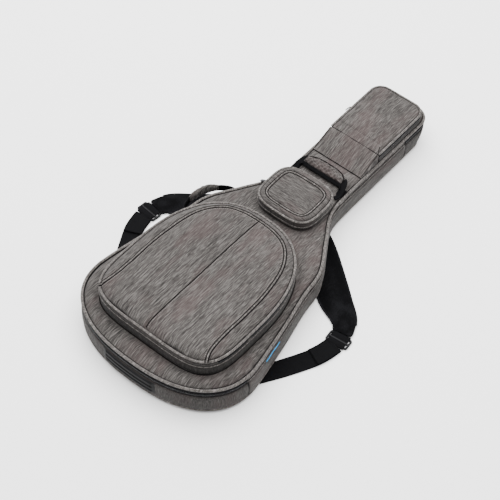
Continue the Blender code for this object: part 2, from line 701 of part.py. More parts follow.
def make_head_pocket(lid):
    """Head pocket: ramp, U-shaped wall and zip, and a panel that folds back over the ramp."""
    end = BAG_LENGTH - HEAD_POCKET_END_MARGIN
    seam = BAG_LENGTH - RAMP_SEAM_FROM_END
    wall_top = GAP + HEAD_WALL_HEIGHT
    zip_top = wall_top + GAP + HEAD_ZIP_HEIGHT
    panel_low = zip_top + GAP
    panel_top = panel_low + HEAD_PANEL_THICKNESS
    half = [(0.0, seam), (HEAD_POCKET_HALF_WIDTH, seam)]
    outline = Loop(half + rounded_end(HEAD_POCKET_HALF_WIDTH, end, HEAD_POCKET_CORNER_RADIUS, 6))
    place = Matrix.Translation((0, seam, panel_top))
    hinge = joint_empty("head_pocket_hinge", place, lid)
    wall = outline.inset(POCKET_WALL_INSET)
    start = wall.place(1, seam + HEAD_ZIP_FROM_SEAM)
    path = wall.run(start, wall.total - start)
    band("head_pocket_wall", path, flat(GAP), flat(wall_top), POCKET_WALL_THICKNESS, lid, "heather_fabric")
    line = outline.inset(POCKET_TAPE_INSET)
    path = line.run(start, line.total - start)
    band("head_pocket_zip", path, flat(wall_top + GAP), flat(zip_top), TAPE_THICKNESS, lid, "zip_tape")
    edge = 2 * POCKET_PIPING_RADIUS + SEAM_GAP
    panel("head_pocket_panel", outline.inset(edge), panel_low, panel_top, hinge, "heather_fabric")
    piping("head_pocket_piping", outline.inset(POCKET_PIPING_RADIUS), panel_top - POCKET_PIPING_RADIUS,
           POCKET_PIPING_RADIUS, hinge)
    make_ramp(lid, seam - SEAM_GAP, panel_top)
    point = line.at(line.place(-1, BAG_LENGTH - HEAD_SLIDER_FROM_END))
    height = wall_top + GAP + HEAD_ZIP_HEIGHT / 2
    place = Vector((point.x, point.y, height))
    slider("head_pocket_slider", place, OUT_LEFT, ALONG_BAG, lid, SHORT_PULL, height)


def make_ramp(lid, seam, height):
    """Sloping panel with triangular cheeks, open below and towards the head."""
    half = HEAD_POCKET_HALF_WIDTH - POCKET_WALL_INSET
    foot = seam - RAMP_LENGTH
    seam -= RAMP_THICKNESS * height / math.hypot(height, RAMP_LENGTH)
    bm = bmesh.new()
    toe = [bm.verts.new((x, foot, RAMP_THICKNESS + GAP)) for x in (-half, half)]
    top = [bm.verts.new((x, seam, height)) for x in (-half, half)]
    base = [bm.verts.new((x, seam, GAP)) for x in (-half, half)]
    heel = [bm.verts.new((x, foot, GAP)) for x in (-half, half)]
    bm.faces.new((toe[0], toe[1], top[1], top[0]))
    bm.faces.new((heel[0], heel[1], toe[1], toe[0]))
    bm.faces.new((heel[0], toe[0], top[0], base[0]))
    bm.faces.new((heel[1], base[1], top[1], toe[1]))
    obj = mesh_object("head_pocket_ramp", bm)
    solid = obj.modifiers.new("thickness", "SOLIDIFY")
    solid.thickness = RAMP_THICKNESS
    solid.offset = -1.0
    solid.use_even_offset = True
    finish(obj, lid, "heather_fabric")


# ================================================================= carry handles
def handle_path(start, end, reach, outward, first, last, steps):
    """Plan points of a handle's bow between two shares of its length, bulging outward."""
    points = []
    for i in range(steps + 1):
        share = first + (last - first) * i / steps
        bulge = math.sin(math.pi * share) ** HANDLE_BULGE_POWER * reach
        points.append(start.lerp(end, share) + outward * bulge)
    return points


def carry_handle(name, start, end, reach, outward, grip_half, heights, parent):
    """Webbing bow with a padded sleeve round its middle; both swing about the line of its ends."""
    low, high = heights
    middle = ((start + end) / 2).to_3d() + Vector((0, 0, (low + high) / 2))
    along = (end - start).to_3d().normalized()
    turn = Matrix((along, Vector((0, 0, 1)).cross(along), Vector((0, 0, 1)))).transposed().to_4x4()
    hinge = joint_empty(name + "_hinge", Matrix.Translation(middle) @ turn, parent)
    path = handle_path(start, end, reach, outward, 0.0, 1.0, HANDLE_STEPS)
    share = grip_half / (end - start).length
    first, last = 0.5 - share, 0.5 + share
    beyond = share / GRIP_STEPS
    grip_path = handle_path(start, end, reach + GRIP_WALL, outward, first, last, GRIP_STEPS)
    hole_path = handle_path(start, end, reach + GRIP_CLEARANCE, outward, first - beyond, last + beyond,
                            GRIP_STEPS + 2)
    if outward.dot(Vector((along.y, -along.x))) < 0:
        for points in (path, grip_path, hole_path):
            points.reverse()
    band(name + "_webbing", path, flat(low), flat(high), HANDLE_WEBBING_THICKNESS, hinge, "webbing")
    grip = band(name + "_grip", grip_path, flat(low - GRIP_UNDER), flat(high + GRIP_WALL),
                HANDLE_WEBBING_THICKNESS + 2 * GRIP_WALL, hinge, "heather_fabric")
    hole = band(name + "_grip_hole", hole_path, flat(low - GRIP_CLEARANCE), flat(high + GRIP_CLEARANCE),
                HANDLE_WEBBING_THICKNESS + 2 * GRIP_CLEARANCE, hinge, "webbing")
    cut(grip, hole)


def make_front_handle(lid):
    """Front handle, lying towards the head between the small pocket and the ramp."""
    station = SMALL_TOP + FRONT_HANDLE_FROM_POCKET
    start, end = Vector((-FRONT_HANDLE_HALF_SPAN, station)), Vector((FRONT_HANDLE_HALF_SPAN, station))
    low = BASE_THICKNESS + 2 * GAP + FRONT_HANDLE_RISE
    carry_handle("front_handle", start, end, FRONT_HANDLE_REACH, Vector((0, 1)), FRONT_GRIP_HALF_LENGTH,
                 (low, low + HANDLE_WEBBING_WIDTH), lid)
    half = Vector((FRONT_HANDLE_HALF_SPAN + BASE_OVERHANG, BASE_WIDTH / 2, 0))
    centre = Vector((0, station, GAP))
    box("front_handle_base", centre - half, centre + half + Vector((0, 0, BASE_THICKNESS)), lid, "webbing")


def make_side_handle(origin):
    """Side handle on the left wall, between the waist and the shoulder."""
    line = OUTLINE.inset(WALL_INSET)
    ends = [line.at(line.place(-1, s)) for s in (SIDE_HANDLE_LOW_STATION, SIDE_HANDLE_HIGH_STATION)]
    along = (ends[1] - ends[0]).normalized()
    outward = Vector((-along.y, along.x))
    clear = outward * (BASE_THICKNESS + GAP + SIDE_HANDLE_SWING_ROOM)
    low = SIDE_HANDLE_HEIGHT - HANDLE_WEBBING_WIDTH / 2
    carry_handle("side_handle", ends[0] + clear, ends[1] + clear, SIDE_HANDLE_REACH, outward,
                 SIDE_GRIP_HALF_LENGTH, (low, low + HANDLE_WEBBING_WIDTH), origin)
    outside = OUTLINE.inset(WALL_INSET - GAP - BASE_THICKNESS)
    first = outside.place(-1, SIDE_HANDLE_HIGH_STATION) - BASE_OVERHANG
    last = outside.place(-1, SIDE_HANDLE_LOW_STATION) + BASE_OVERHANG
    band("side_handle_base", outside.run(first, last), flat(SIDE_HANDLE_HEIGHT - BASE_WIDTH / 2),
         flat(SIDE_HANDLE_HEIGHT + BASE_WIDTH / 2), BASE_THICKNESS, origin, "webbing")


# ================================================================= shoulder straps
def side_points(points, side):
    return [Vector((side * x, station)) for x, station in points]


def make_strap(side, name, origin):
    """One shoulder strap: pad, ladder lock, webbing and the tab that sews it to the back."""
    path = side_points(PAD_PATH, side)
    along = Vector((side * LOCK_DIRECTION[0], LOCK_DIRECTION[1])).normalized()
    before, after = path[0] * 2 - path[1], path[-1] + along * LOCK_LENGTH
    fine = [Vector(p) for p in smooth_run([before, *path, after], PAD_STEPS)] + [path[-1]]
    widths = []
    for a, b in zip(PAD_HALF_WIDTHS, PAD_HALF_WIDTHS[1:]):
        widths += [a + (b - a) * step / PAD_STEPS for step in range(PAD_STEPS)]
    widths.append(PAD_HALF_WIDTHS[-1])
    free = OUTLINE.inset(-PAD_THICKNESS)
    highs = []
    for point in fine:
        edge = abs(free.at(free.place(1, point.y)).x)
        beyond = (abs(point.x) - edge) / (2 * max(PAD_HALF_WIDTHS))
        share = min(max(beyond - PAD_FREE_SHARE, 0.0), 1.0)
        highs.append(-GAP + share * (PAD_THICKNESS - STRAP_LAYER))
    ribbon("strap_pad_" + name, fine, widths, FLOOR, highs, origin, "strap_mesh", Vector((side, 0)), along)
    lock_end = make_lock(name, origin, fine[-1] + along * LOCK_GAP, along)
    webbing = [lock_end + along * LOCK_GAP, *side_points(WEBBING_PATH, side)]
    before, after = lock_end - along * LOCK_LENGTH, webbing[-1] * 2 - webbing[-2]
    smooth = [Vector(p) for p in smooth_run([before, *webbing, after], WEBBING_STEPS)] + [webbing[-1]]
    count = len(smooth)
    ribbon("strap_webbing_" + name, smooth, [WEBBING_HALF_WIDTH] * count, FLOOR,
           [FLOOR + WEBBING_THICKNESS] * count, origin, "webbing", along)
    make_anchor_tab(side, name, origin)


def make_anchor_tab(side, name, origin):
    """Flat tab under the back that sews the strap's webbing to the lower corner."""
    outer = OUTLINE.inset(2 * PIPING_RADIUS)
    low, high = ANCHOR_TAB_STATIONS
    corners = [outer.at(outer.place(1, low + (high - low) * i / 4)) for i in range(5)]
    bm = bmesh.new()
    inner = ((ANCHOR_TAB_INNER_X, high - ANCHOR_TAB_TAPER), (ANCHOR_TAB_INNER_X, low + ANCHOR_TAB_TAPER))
    tab = [*map(Vector, inner), *corners]
    tab = [Vector((side * p.x, p.y)) for p in tab]
    under = FLOOR + WEBBING_THICKNESS + GAP
    base = bm.faces.new([bm.verts.new((p.x, p.y, under)) for p in tab])
    lifted = bmesh.ops.extrude_face_region(bm, geom=[base])["geom"]
    top = [item for item in lifted if isinstance(item, bmesh.types.BMVert)]
    bmesh.ops.translate(bm, verts=top, vec=(0, 0, -GAP - under))
    bmesh.ops.recalc_face_normals(bm, faces=bm.faces)
    finish(mesh_object("strap_tab_" + name, bm), origin, "webbing")


def make_lock(name, origin, start, along):
    """Ladder lock: a plastic frame with two slots, swinging on its bar at the pad's end."""
    across = Vector((along.y, -along.x))
    turn = Matrix((across.to_3d(), along.to_3d(), across.to_3d().cross(along.to_3d()))).transposed().to_4x4()
    level = FLOOR + LOCK_THICKNESS / 2
    hinge = joint_empty("strap_lock_" + name + "_hinge",
                        Matrix.Translation((start.x, start.y, level)) @ turn, origin)
    half = Vector((LOCK_HALF_WIDTH, LOCK_LENGTH / 2, LOCK_THICKNESS / 2))
    centre = Matrix.Translation((start + along * LOCK_LENGTH / 2).to_3d() + Vector((0, 0, level))) @ turn
    frame = box("strap_lock_" + name, -half, half, hinge, "black_plastic")
    frame.matrix_basis = centre
    slot_length = (LOCK_LENGTH - 3 * LOCK_BAR) / 2
    for i, shift in enumerate((-1, 1)):
        middle = shift * (LOCK_BAR + slot_length) / 2
        hole = Vector((LOCK_HALF_WIDTH - LOCK_BAR, slot_length / 2, LOCK_THICKNESS))
        slot = box(f"strap_lock_{name}_slot_{i}", -hole, hole, hinge, "black_plastic")
        slot.matrix_basis = centre @ Matrix.Translation((0, middle, 0))
        cut(frame, slot)
    return start + along * LOCK_LENGTH


def make_yoke(origin):
    """Patch that sews both pads to the middle of the back."""
    low, high = YOKE_STATIONS
    box("strap_yoke", (-YOKE_HALF_WIDTH, low, FLOOR), (YOKE_HALF_WIDTH, high, -GAP), origin, "strap_mesh")


# ================================================================= small fittings
def make_bumper(origin):
    """Ribbed rubber plate on the bottom wall, under the bag's weight when it stands."""
    line = OUTLINE.inset(WALL_INSET - GAP - BUMPER_THICKNESS)
    path = line.run(-BUMPER_HALF_WIDTH, BUMPER_HALF_WIDTH)
    plate = band("bottom_bumper", path, flat(BUMPER_BOTTOM), flat(BUMPER_TOP), BUMPER_THICKNESS, origin,
                 "bumper_rubber")
    rib_half = BUMPER_HALF_WIDTH - RIB_END_MARGIN
    pitch = (BUMPER_TOP - BUMPER_BOTTOM) / RIB_COUNT
    crest = OUTLINE.inset(WALL_INSET - GAP - BUMPER_THICKNESS - RIB_DEPTH)
    for i in range(RIB_COUNT):
        middle = BUMPER_BOTTOM + pitch * (i + 0.5)
        rib = band(f"bottom_bumper_rib_{i}", crest.run(-rib_half, rib_half), flat(middle - RIB_HEIGHT / 2),
                   flat(middle + RIB_HEIGHT / 2), RIB_DEPTH + BUMPER_THICKNESS / 2, origin, "bumper_rubber")
        cut(plate, rib)
        plate.modifiers[-1].operation = "UNION"


def make_tag(origin):
    """Plain folded label sewn into the right-hand seam."""
    line = OUTLINE.inset(WALL_INSET - GAP - TAG_THICKNESS)
    path = line.run(line.place(1, TAG_STATIONS[0]), line.place(1, TAG_STATIONS[1]))
    top = under_front(TAPE_SPLIT - GAP)
    band("side_tag", path, lambda p: top(p) - TAG_HEIGHT, top, TAG_THICKNESS, origin, "tag_fabric")


def make_inner_fittings(origin):
    """Neck cradle, and the pad that takes the instrument's bottom end."""
    floor = LINING_TOP + GAP
    low, high = CRADLE_STATIONS
    top = floor + CRADLE_HEIGHT
    cradle = box("neck_cradle", (-CRADLE_HALF_WIDTH, low, floor), (CRADLE_HALF_WIDTH, high, top), origin,
                 "foam", bevel=CRADLE_BEVEL)
    bm = bmesh.new()
    bmesh.ops.create_cone(bm, cap_ends=True, segments=24, radius1=CRADLE_GROOVE_RADIUS,
                          radius2=CRADLE_GROOVE_RADIUS, depth=(high - low) * 1.5)
    groove = finish(mesh_object("neck_cradle_groove", bm), origin, "foam")
    groove.rotation_euler.x = math.pi / 2
    groove.location = (0, (low + high) / 2, top + CRADLE_GROOVE_RISE)
    cut(cradle, groove)
    low, high = END_PAD_STATIONS
    box("end_pad", (-END_PAD_HALF_WIDTH, low, floor), (END_PAD_HALF_WIDTH, high, floor + END_PAD_HEIGHT),
        origin, "foam", bevel=END_PAD_BEVEL)


# ================================================================= the whole bag
def make_bag():
    origin = frame_empty("bag_frame", Matrix.Translation((0, -ORIGIN_STATION, STRAP_LAYER)))
    tilt = Matrix.Translation((0, 0, DEPTH_AT_BOTTOM)) @ Matrix.Rotation(-SLOPE_ANGLE, 4, "X")
    front = frame_empty("front_plane", tilt, origin)
    lid = joint_empty("lid_hinge", lid_axis(), front)
    make_back(origin)
    make_walls(origin)
    make_main_zip(origin, front, lid)
    lean_head_end(("back_panel", "back_lining", "back_piping", "gusset_head"))
    make_lid(lid)
    make_main_sliders(origin)
    make_large_pocket(lid)
    make_small_pocket(lid)
    make_head_pocket(lid)
    make_front_handle(lid)
    make_side_handle(origin)
    for side, name in ((-1, "left"), (1, "right")):
        make_strap(side, name, origin)
    make_yoke(origin)
    make_bumper(origin)
    make_tag(origin)
    make_inner_fittings(origin)


for old in list(bpy.data.objects):
    bpy.data.objects.remove(old, do_unlink=True)
PARTS = collection_named("gig_bag")
CUTTERS = collection_named("gig_bag_cutters")
OUTLINE = bag_outline()
LARGE_OUTLINE = egg_outline(LARGE_HALF_WIDTH, LARGE_BOTTOM, LARGE_WIDEST, LARGE_TOP, LARGE_BOTTOM_POWER,
                            LARGE_TOP_POWER, 9)
SMALL_MIDDLE = (SMALL_BOTTOM + SMALL_TOP) / 2
SMALL_OUTLINE = egg_outline(SMALL_HALF_WIDTH, SMALL_BOTTOM, SMALL_MIDDLE, SMALL_TOP, SMALL_POWER,
                            SMALL_POWER, 7)
make_bag()
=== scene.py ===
"""Looks for the padded gig bag: soft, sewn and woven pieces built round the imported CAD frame.

Places follow the CAD source: (x, station, height), where station runs from the bottom end along the
bag. bag() places points in the bag's frame and front() on the sloping front plane, height measured
from the lid's outer face.
"""
import math

import bmesh
import bpy
import numpy as np
from mathutils import Matrix, Vector
from mathutils.bvhtree import BVHTree


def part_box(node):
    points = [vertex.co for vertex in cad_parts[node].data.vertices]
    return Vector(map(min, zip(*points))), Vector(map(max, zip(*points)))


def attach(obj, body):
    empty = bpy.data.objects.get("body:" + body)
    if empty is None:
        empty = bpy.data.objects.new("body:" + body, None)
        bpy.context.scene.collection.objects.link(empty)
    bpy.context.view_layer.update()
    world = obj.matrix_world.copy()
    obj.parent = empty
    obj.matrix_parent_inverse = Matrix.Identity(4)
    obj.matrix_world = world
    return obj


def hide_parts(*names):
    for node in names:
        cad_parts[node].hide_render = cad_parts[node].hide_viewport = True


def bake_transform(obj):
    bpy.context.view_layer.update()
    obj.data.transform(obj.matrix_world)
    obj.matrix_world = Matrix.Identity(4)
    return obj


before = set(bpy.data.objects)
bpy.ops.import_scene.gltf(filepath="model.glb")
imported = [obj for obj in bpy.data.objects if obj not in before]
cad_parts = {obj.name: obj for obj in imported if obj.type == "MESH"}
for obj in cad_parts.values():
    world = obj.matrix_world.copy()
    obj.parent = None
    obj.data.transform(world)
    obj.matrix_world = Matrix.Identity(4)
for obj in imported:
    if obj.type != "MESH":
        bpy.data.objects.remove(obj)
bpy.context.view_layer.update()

# ---------------------------------------------------------------- driving sizes, as in the CAD source
LENGTH, HALF_WIDTH = 1.030, 0.230
DEPTH, HEAD_DEPTH = 0.0835, 0.0694
ORIGIN_STATION, STRAP_LAYER = 0.600, 0.006
SLOPE = math.atan((DEPTH - HEAD_DEPTH) / LENGTH)
WALL_INSET, WALL_THICKNESS = 0.0010, 0.0060
PIPING, POCKET_PIPING = 0.0035, 0.0028
TAPE_INSET = 0.0030
LARGE_RIM, LARGE_TOP = 0.0451, 0.0660
SMALL_RIM, SMALL_TOP = 0.0289, 0.0365
HEAD_RIM, HEAD_TOP = 0.0266, 0.0330
BOTTOM_SEAM = 0.138
HEAD_LEAN = 0.032
HEAD_SEAM, HEAD_END = LENGTH - 0.218, LENGTH - 0.020
HEAD_HALF, HEAD_CORNER = 0.0745, 0.034
HEAD_REACH, NECK_SEAM = 0.110, 0.600
RAMP_FOOT = HEAD_SEAM - 0.066
SIDE_HANDLE_LOW, SIDE_HANDLE_HIGH = 0.405, 0.535
BACK_CHANNEL = 0.055
WALL_LOW, WALL_TOP = 2 * PIPING + 0.0003, -0.0273
TAPE_SPLIT, TAPE_TOP = -0.0185, -0.0103
TAPE_THICKNESS, POCKET_WALL = 0.0018, 0.0034
COIL_SIZE, SMALL_COIL_SIZE = (0.0011, 0.0021), (0.0009, 0.0019)


# ================================================================= places
def bag(points):
    """Bag-frame (x, station, height) rows to world."""
    p = np.array(np.atleast_2d(points), float)
    along = np.maximum((p[:, 1] - (LENGTH - HEAD_REACH)) / HEAD_REACH, 0)
    down = np.maximum(1 - p[:, 2] / (DEPTH - math.tan(SLOPE) * p[:, 1] + WALL_TOP), 0)
    p[:, 1] -= HEAD_LEAN * along * down
    return p + np.array((0.0, -ORIGIN_STATION, STRAP_LAYER))


def front(points):
    """Front-plane (x, station, height) rows to world."""
    p = np.atleast_2d(np.asarray(points, float))
    c, s = math.cos(SLOPE), math.sin(SLOPE)
    y = p[:, 1] * c + p[:, 2] * s
    z = DEPTH - p[:, 1] * s + p[:, 2] * c
    return bag(np.column_stack((p[:, 0], y, z)))


def squared(value, power):
    """A sine or cosine flattened towards a square wave, with its sign kept."""
    return math.copysign(abs(value) ** power, value)


def headings(path):
    """Unit directions along an open plan path."""
    t = np.gradient(np.asarray(path, float), axis=0)
    return t / np.linalg.norm(t, axis=1)[:, None]


def rightwards(t):
    """Plan directions turned a quarter turn to the right."""
    return np.column_stack((t[:, 1], -t[:, 0]))


def quarter(half_width, depth, power, steps):
    """Quarter of a superellipse, from its centre line out to its side, as (x, depth) points."""
    points = []
    for i in range(steps):
        angle = math.pi / 2 * i / steps
        x = half_width * math.sin(angle) ** (2 / power)
        points.append((x, depth * (1 - math.cos(angle) ** (2 / power))))
    return points


def spline(knots, steps):
    """Catmull-Rom points through the knots, in any number of dimensions; end knots only steer."""
    points = []
    for a, b, c, d in zip(knots, knots[1:], knots[2:], knots[3:]):
        a, b, c, d = (np.asarray(k, float) for k in (a, b, c, d))
        for i in range(steps):
            t = i / steps
            point = 2 * b + (c - a) * t + (2 * a - 5 * b + 4 * c - d) * t ** 2
            points.append((point + (3 * b - a - 3 * c + d) * t ** 3) / 2)
    return points


def through(knots, steps):
    """Spline that reaches its first and last knots."""
    k = [np.asarray(p, float) for p in knots]
    return np.array(spline([2 * k[0] - k[1], *k, 2 * k[-1] - k[-2]], steps) + [k[-1]])


def rounded_end(half_width, end, radius, steps):
    """Right half of a square end with a rounded corner."""
    points = []
    for i in range(steps + 1):
        angle = math.pi / 2 * i / steps
        points.append((half_width - radius + radius * math.cos(angle),
                       end - radius + radius * math.sin(angle)))
    return points + [(0.0, end)]


class Outline:
    """Closed plan outline symmetric about x = 0, given by its right half from the bottom up."""

    def __init__(self, half, step=0.004):
        half = even(np.array([tuple(p) for p in half], float), step)
        self.half = half
        left = half[1:-1][::-1] * (-1, 1)
        self.set(np.vstack((half, left)))

    def set(self, points):
        self.points = points
        ends = np.roll(points, -1, axis=0)
        self.lengths = np.linalg.norm(ends - points, axis=1)
        self.starts = np.concatenate(([0.0], np.cumsum(self.lengths)))
        self.total = self.starts[-1]

    def inset(self, distance):
        """The outline moved inwards, or outwards by a negative distance."""
        before = self.points - np.roll(self.points, 1, axis=0)
        after = np.roll(self.points, -1, axis=0) - self.points
        before /= np.linalg.norm(before, axis=1)[:, None]
        after /= np.linalg.norm(after, axis=1)[:, None]
        mean = before + after
        inward = np.column_stack((-mean[:, 1], mean[:, 0]))
        inward /= np.linalg.norm(inward, axis=1)[:, None]
        lean = np.einsum("ij,ij->i", inward, np.column_stack((-after[:, 1], after[:, 0])))
        other = Outline.__new__(Outline)
        other.set(self.points + inward * (distance / np.maximum(lean, 0.5))[:, None])
        other.half = other.points[: len(self.half)]
        return other

    def at(self, distance):
        d = np.mod(distance, self.total)
        i = min(int(np.searchsorted(self.starts, d, side="right")) - 1, len(self.points) - 1)
        share = (d - self.starts[i]) / max(self.lengths[i], 1e-9)
        return self.points[i] * (1 - share) + self.points[(i + 1) % len(self.points)] * share

    def place(self, side, station):
        """Distance along the outline to a station on its right (1) or left (-1) side."""
        for i in range(len(self.half) - 1):
            a, b = self.half[i], self.half[i + 1]
            if a[1] <= station <= b[1] and b[1] > a[1]:
                distance = self.starts[i] + (station - a[1]) / (b[1] - a[1]) * self.lengths[i]
                return distance if side > 0 else -distance
        return side * self.total / 2

    def run(self, first, last, step=0.004):
        """Even points between two distances along the outline."""
        count = max(2, int(round((last - first) / step)))
        return np.array([self.at(first + (last - first) * i / count) for i in range(count + 1)])

    def distance(self, points):
        """Distance of plan points inside to the outline."""
        a, b = self.points, np.roll(self.points, -1, axis=0)
        best = np.full(len(points), 9.0)
        for p, q in zip(a, b):
            v = q - p
            t = np.clip(((points - p) @ v) / max(v @ v, 1e-12), 0, 1)
            best = np.minimum(best, np.linalg.norm(points - (p + t[:, None] * v), axis=1))
        return best


def even(points, step, closed=False):
    """The same path with points an even step apart."""
    points = np.asarray(points, float)
    if closed:
        points = np.vstack((points, points[:1]))
    gaps = np.linalg.norm(np.diff(points, axis=0), axis=1)
    along = np.concatenate(([0.0], np.cumsum(gaps)))
    count = max(2, int(round(along[-1] / step)))
    marks = np.linspace(0, along[-1], count + 1)
    out = np.column_stack([np.interp(marks, along, points[:, k]) for k in range(points.shape[1])])
    return out[:-1] if closed else out


def line_distance(points, path):
    """Distance of plan points to an open path."""
    best = np.full(len(points), 9.0)
    for p, q in zip(path[:-1], path[1:]):
        v = q - p
        t = np.clip(((points - p) @ v) / max(v @ v, 1e-12), 0, 1)
        best = np.minimum(best, np.linalg.norm(points - (p + t[:, None] * v), axis=1))
    return best


def bag_half():
    neck = (0.080, 0.700)
    knots = [(HALF_WIDTH, 0.055), (HALF_WIDTH, 0.155), (0.2093, 0.283), (0.1870, 0.386), (0.1737, 0.464),
             (0.1300, 0.541), (0.0872, 0.618), neck, (0.080, 0.800)]
    curved = quarter(HALF_WIDTH, 0.155, 2.35, 40) + spline(knots, 8)
    return curved + [neck] + rounded_end(0.080, LENGTH, 0.042, 10)


def egg_half(half_width, bottom, widest, top, bottom_power, top_power):
    lower = quarter(half_width, widest - bottom, bottom_power, 60)
    upper = quarter(half_width, top - widest, top_power, 60)
    half = [(x, bottom + depth) for x, depth in lower] + [(half_width, widest)]
    return half + [(x, top - depth) for x, depth in reversed(upper)]


BAG = Outline(bag_half())
LARGE = Outline(egg_half(0.183, 0.057, 0.232, 0.475, 4.5, 2.4), 0.0032)
SMALL = Outline(egg_half(0.081, 0.513, 0.584, 0.655, 3.4, 3.4), 0.0028)
HEAD = Outline([(0.0, HEAD_SEAM), (HEAD_HALF, HEAD_SEAM)]
               + rounded_end(HEAD_HALF, HEAD_END, HEAD_CORNER, 10), 0.0032)


# ================================================================= node materials
def new_material(name, roughness, metallic=0.0, sheen=0.0, coat=0.0, specular=0.5):
    mat = bpy.data.materials.new(name)
    mat.use_nodes = True
    shader = mat.node_tree.nodes["Principled BSDF"]
    for socket, value in (("Roughness", roughness), ("Metallic", metallic), ("Sheen Weight", sheen),
                          ("Coat Weight", coat), ("Specular IOR Level", specular)):
        shader.inputs[socket].default_value = value
    return mat, mat.node_tree, shader


def add(tree, kind, inputs=None, **settings):
    node = tree.nodes.new(kind)
    for key, value in settings.items():
        setattr(node, key, value)
    for key, value in (inputs or {}).items():
        if isinstance(value, bpy.types.NodeSocket):
            tree.links.new(value, node.inputs[key])
        else:
            node.inputs[key].default_value = value
    return node


def mixed(tree, factor, a, b, blend="MIX"):
    node = add(tree, "ShaderNodeMix", data_type="RGBA", blend_type=blend)
    for index, value in ((0, factor), (6, a), (7, b)):
        if isinstance(value, bpy.types.NodeSocket):
            tree.links.new(value, node.inputs[index])
        elif index == 0:
            node.inputs[index].default_value = value
        else:
            node.inputs[index].default_value = (*value, 1.0)
    return node.outputs[2]


def ramp(tree, value, stops):
    node = add(tree, "ShaderNodeValToRGB", {"Fac": value})
    band = node.color_ramp
    while len(band.elements) < len(stops):
        band.elements.new(0.5)
    for element, (position, colour) in zip(band.elements, stops):
        element.position = position
        element.color = (*colour, 1.0)
    return node.outputs["Color"]


def grain(tree, vector, scales, detail=3.0, rough=0.55):
    """Noise stretched by a different size along each axis."""
    mapping = add(tree, "ShaderNodeMapping", {"Vector": vector, "Scale": scales})
    return add(tree, "ShaderNodeTexNoise",
               {"Vector": mapping.outputs["Vector"], "Scale": 1.0, "Detail": detail,
                                            "Roughness": rough}).outputs["Fac"]


def weave(tree, vector, pitch, axes="XY"):
    """Over-and-under height of a plain weave."""
    scale = 0.314 / pitch
    waves = [add(tree, "ShaderNodeTexWave", {"Vector": vector, "Scale": scale, "Distortion": 0.6,
                                            "Detail Scale": 0.4}, bands_direction=axis).outputs["Fac"]
             for axis in axes]
    return add(tree, "ShaderNodeMath", {0: waves[0], 1: waves[1]}, operation="MULTIPLY").outputs[0]


def sum_of(tree, a, b, share=1.0):
    """a plus a share of b."""
    return add(tree, "ShaderNodeMath", {0: b, 1: share, 2: a}, operation="MULTIPLY_ADD").outputs[0]


def bumped(tree, shader, height, distance, strength=0.6):
    bump = add(tree, "ShaderNodeBump", {"Height": height, "Distance": distance, "Strength": strength})
    tree.links.new(bump.outputs["Normal"], shader.inputs["Normal"])


STREAKS = {"y": (1.0, 0.035, 0.035), "x": (0.035, 1.0, 0.035), "z": (1.0, 1.0, 0.035),
           "side": (0.30, 0.035, 1.0)}


def heather(name, run="y", painted_shade_scale=1.0):
    """Grey-brown melange polyester: long yarn streaks, pinkish patches, fine plain weave."""
    mat, tree, shader = new_material(name, 0.92, sheen=0.05, specular=0.12)
    place = add(tree, "ShaderNodeTexCoord").outputs["Object"]
    stretch = Vector(STREAKS[run])
    broad = grain(tree, place, stretch * 1000.0, 1.0, 0.5)
    fine = grain(tree, place, stretch * 2300.0, 1.0, 0.6)
    yarn = sum_of(tree, add(tree, "ShaderNodeMath", {0: broad, 1: 0.5}, operation="MULTIPLY").outputs[0],
                  fine, 0.5)
    # painted_shade_scale below 1 darkens every colour of this cloth for upright walls: painted shade on the
    # same cloth as the top
    dark, mid, light = ((v[0] * painted_shade_scale, v[1] * painted_shade_scale, v[2] * painted_shade_scale) for v in
                        ((0.012, 0.0108, 0.0104), (0.038, 0.0348, 0.0328), (0.104, 0.0965, 0.0915)))
    colour = ramp(tree, yarn, ((0.38, dark), (0.50, mid), (0.62, light)))
    patch = grain(tree, place, stretch.lerp(Vector((1, 1, 1)), 0.35) * 17.0, 3.0, 0.6)
    share = add(tree, "ShaderNodeMapRange",
                {"Value": patch, "From Min": 0.50, "From Max": 0.66, "To Max": 0.40})
    colour = mixed(tree, share.outputs["Result"], colour, (0.050 * painted_shade_scale, 0.034 * painted_shade_scale, 0.033 * painted_shade_scale), "MIX")
    worn = grain(tree, place, Vector((1, 1, 1)) * 6.0, 2.0, 0.5)
    lift = ramp(tree, worn, ((0.35, (0.90, 0.90, 0.90)), (0.65, (1.08, 1.08, 1.08))))
    colour = mixed(tree, 1.0, colour, lift, "MULTIPLY")
    tree.links.new(colour, shader.inputs["Base Color"])
    cross = weave(tree, place, 0.0011, "XY" if run in "xy" else "YZ")
    bumped(tree, shader, sum_of(tree, cross, yarn, 0.45), 0.0004, 0.35)
    return mat


def piping_cloth(name):
    """Lighter bias-cut piping with a diagonal yarn."""
    mat, tree, shader = new_material(name, 0.85, sheen=0.08, specular=0.18)
    place = add(tree, "ShaderNodeTexCoord").outputs["UV"]
    turned = add(tree, "ShaderNodeMapping",
                 {"Vector": place, "Rotation": (0, 0, math.radians(38))}).outputs["Vector"]
    yarn = grain(tree, turned, Vector((900.0, 110.0, 1.0)), 3.0, 0.6)
    colour = ramp(tree, yarn,
                  ((0.36, (0.016, 0.014, 0.013)), (0.52, (0.070, 0.063, 0.059)),
                   (0.66, (0.215, 0.199, 0.188))))
    tree.links.new(colour, shader.inputs["Base Color"])
    bumped(tree, shader, sum_of(tree, weave(tree, turned, 0.0009), yarn, 1.2), 0.0004, 0.6)
    return mat


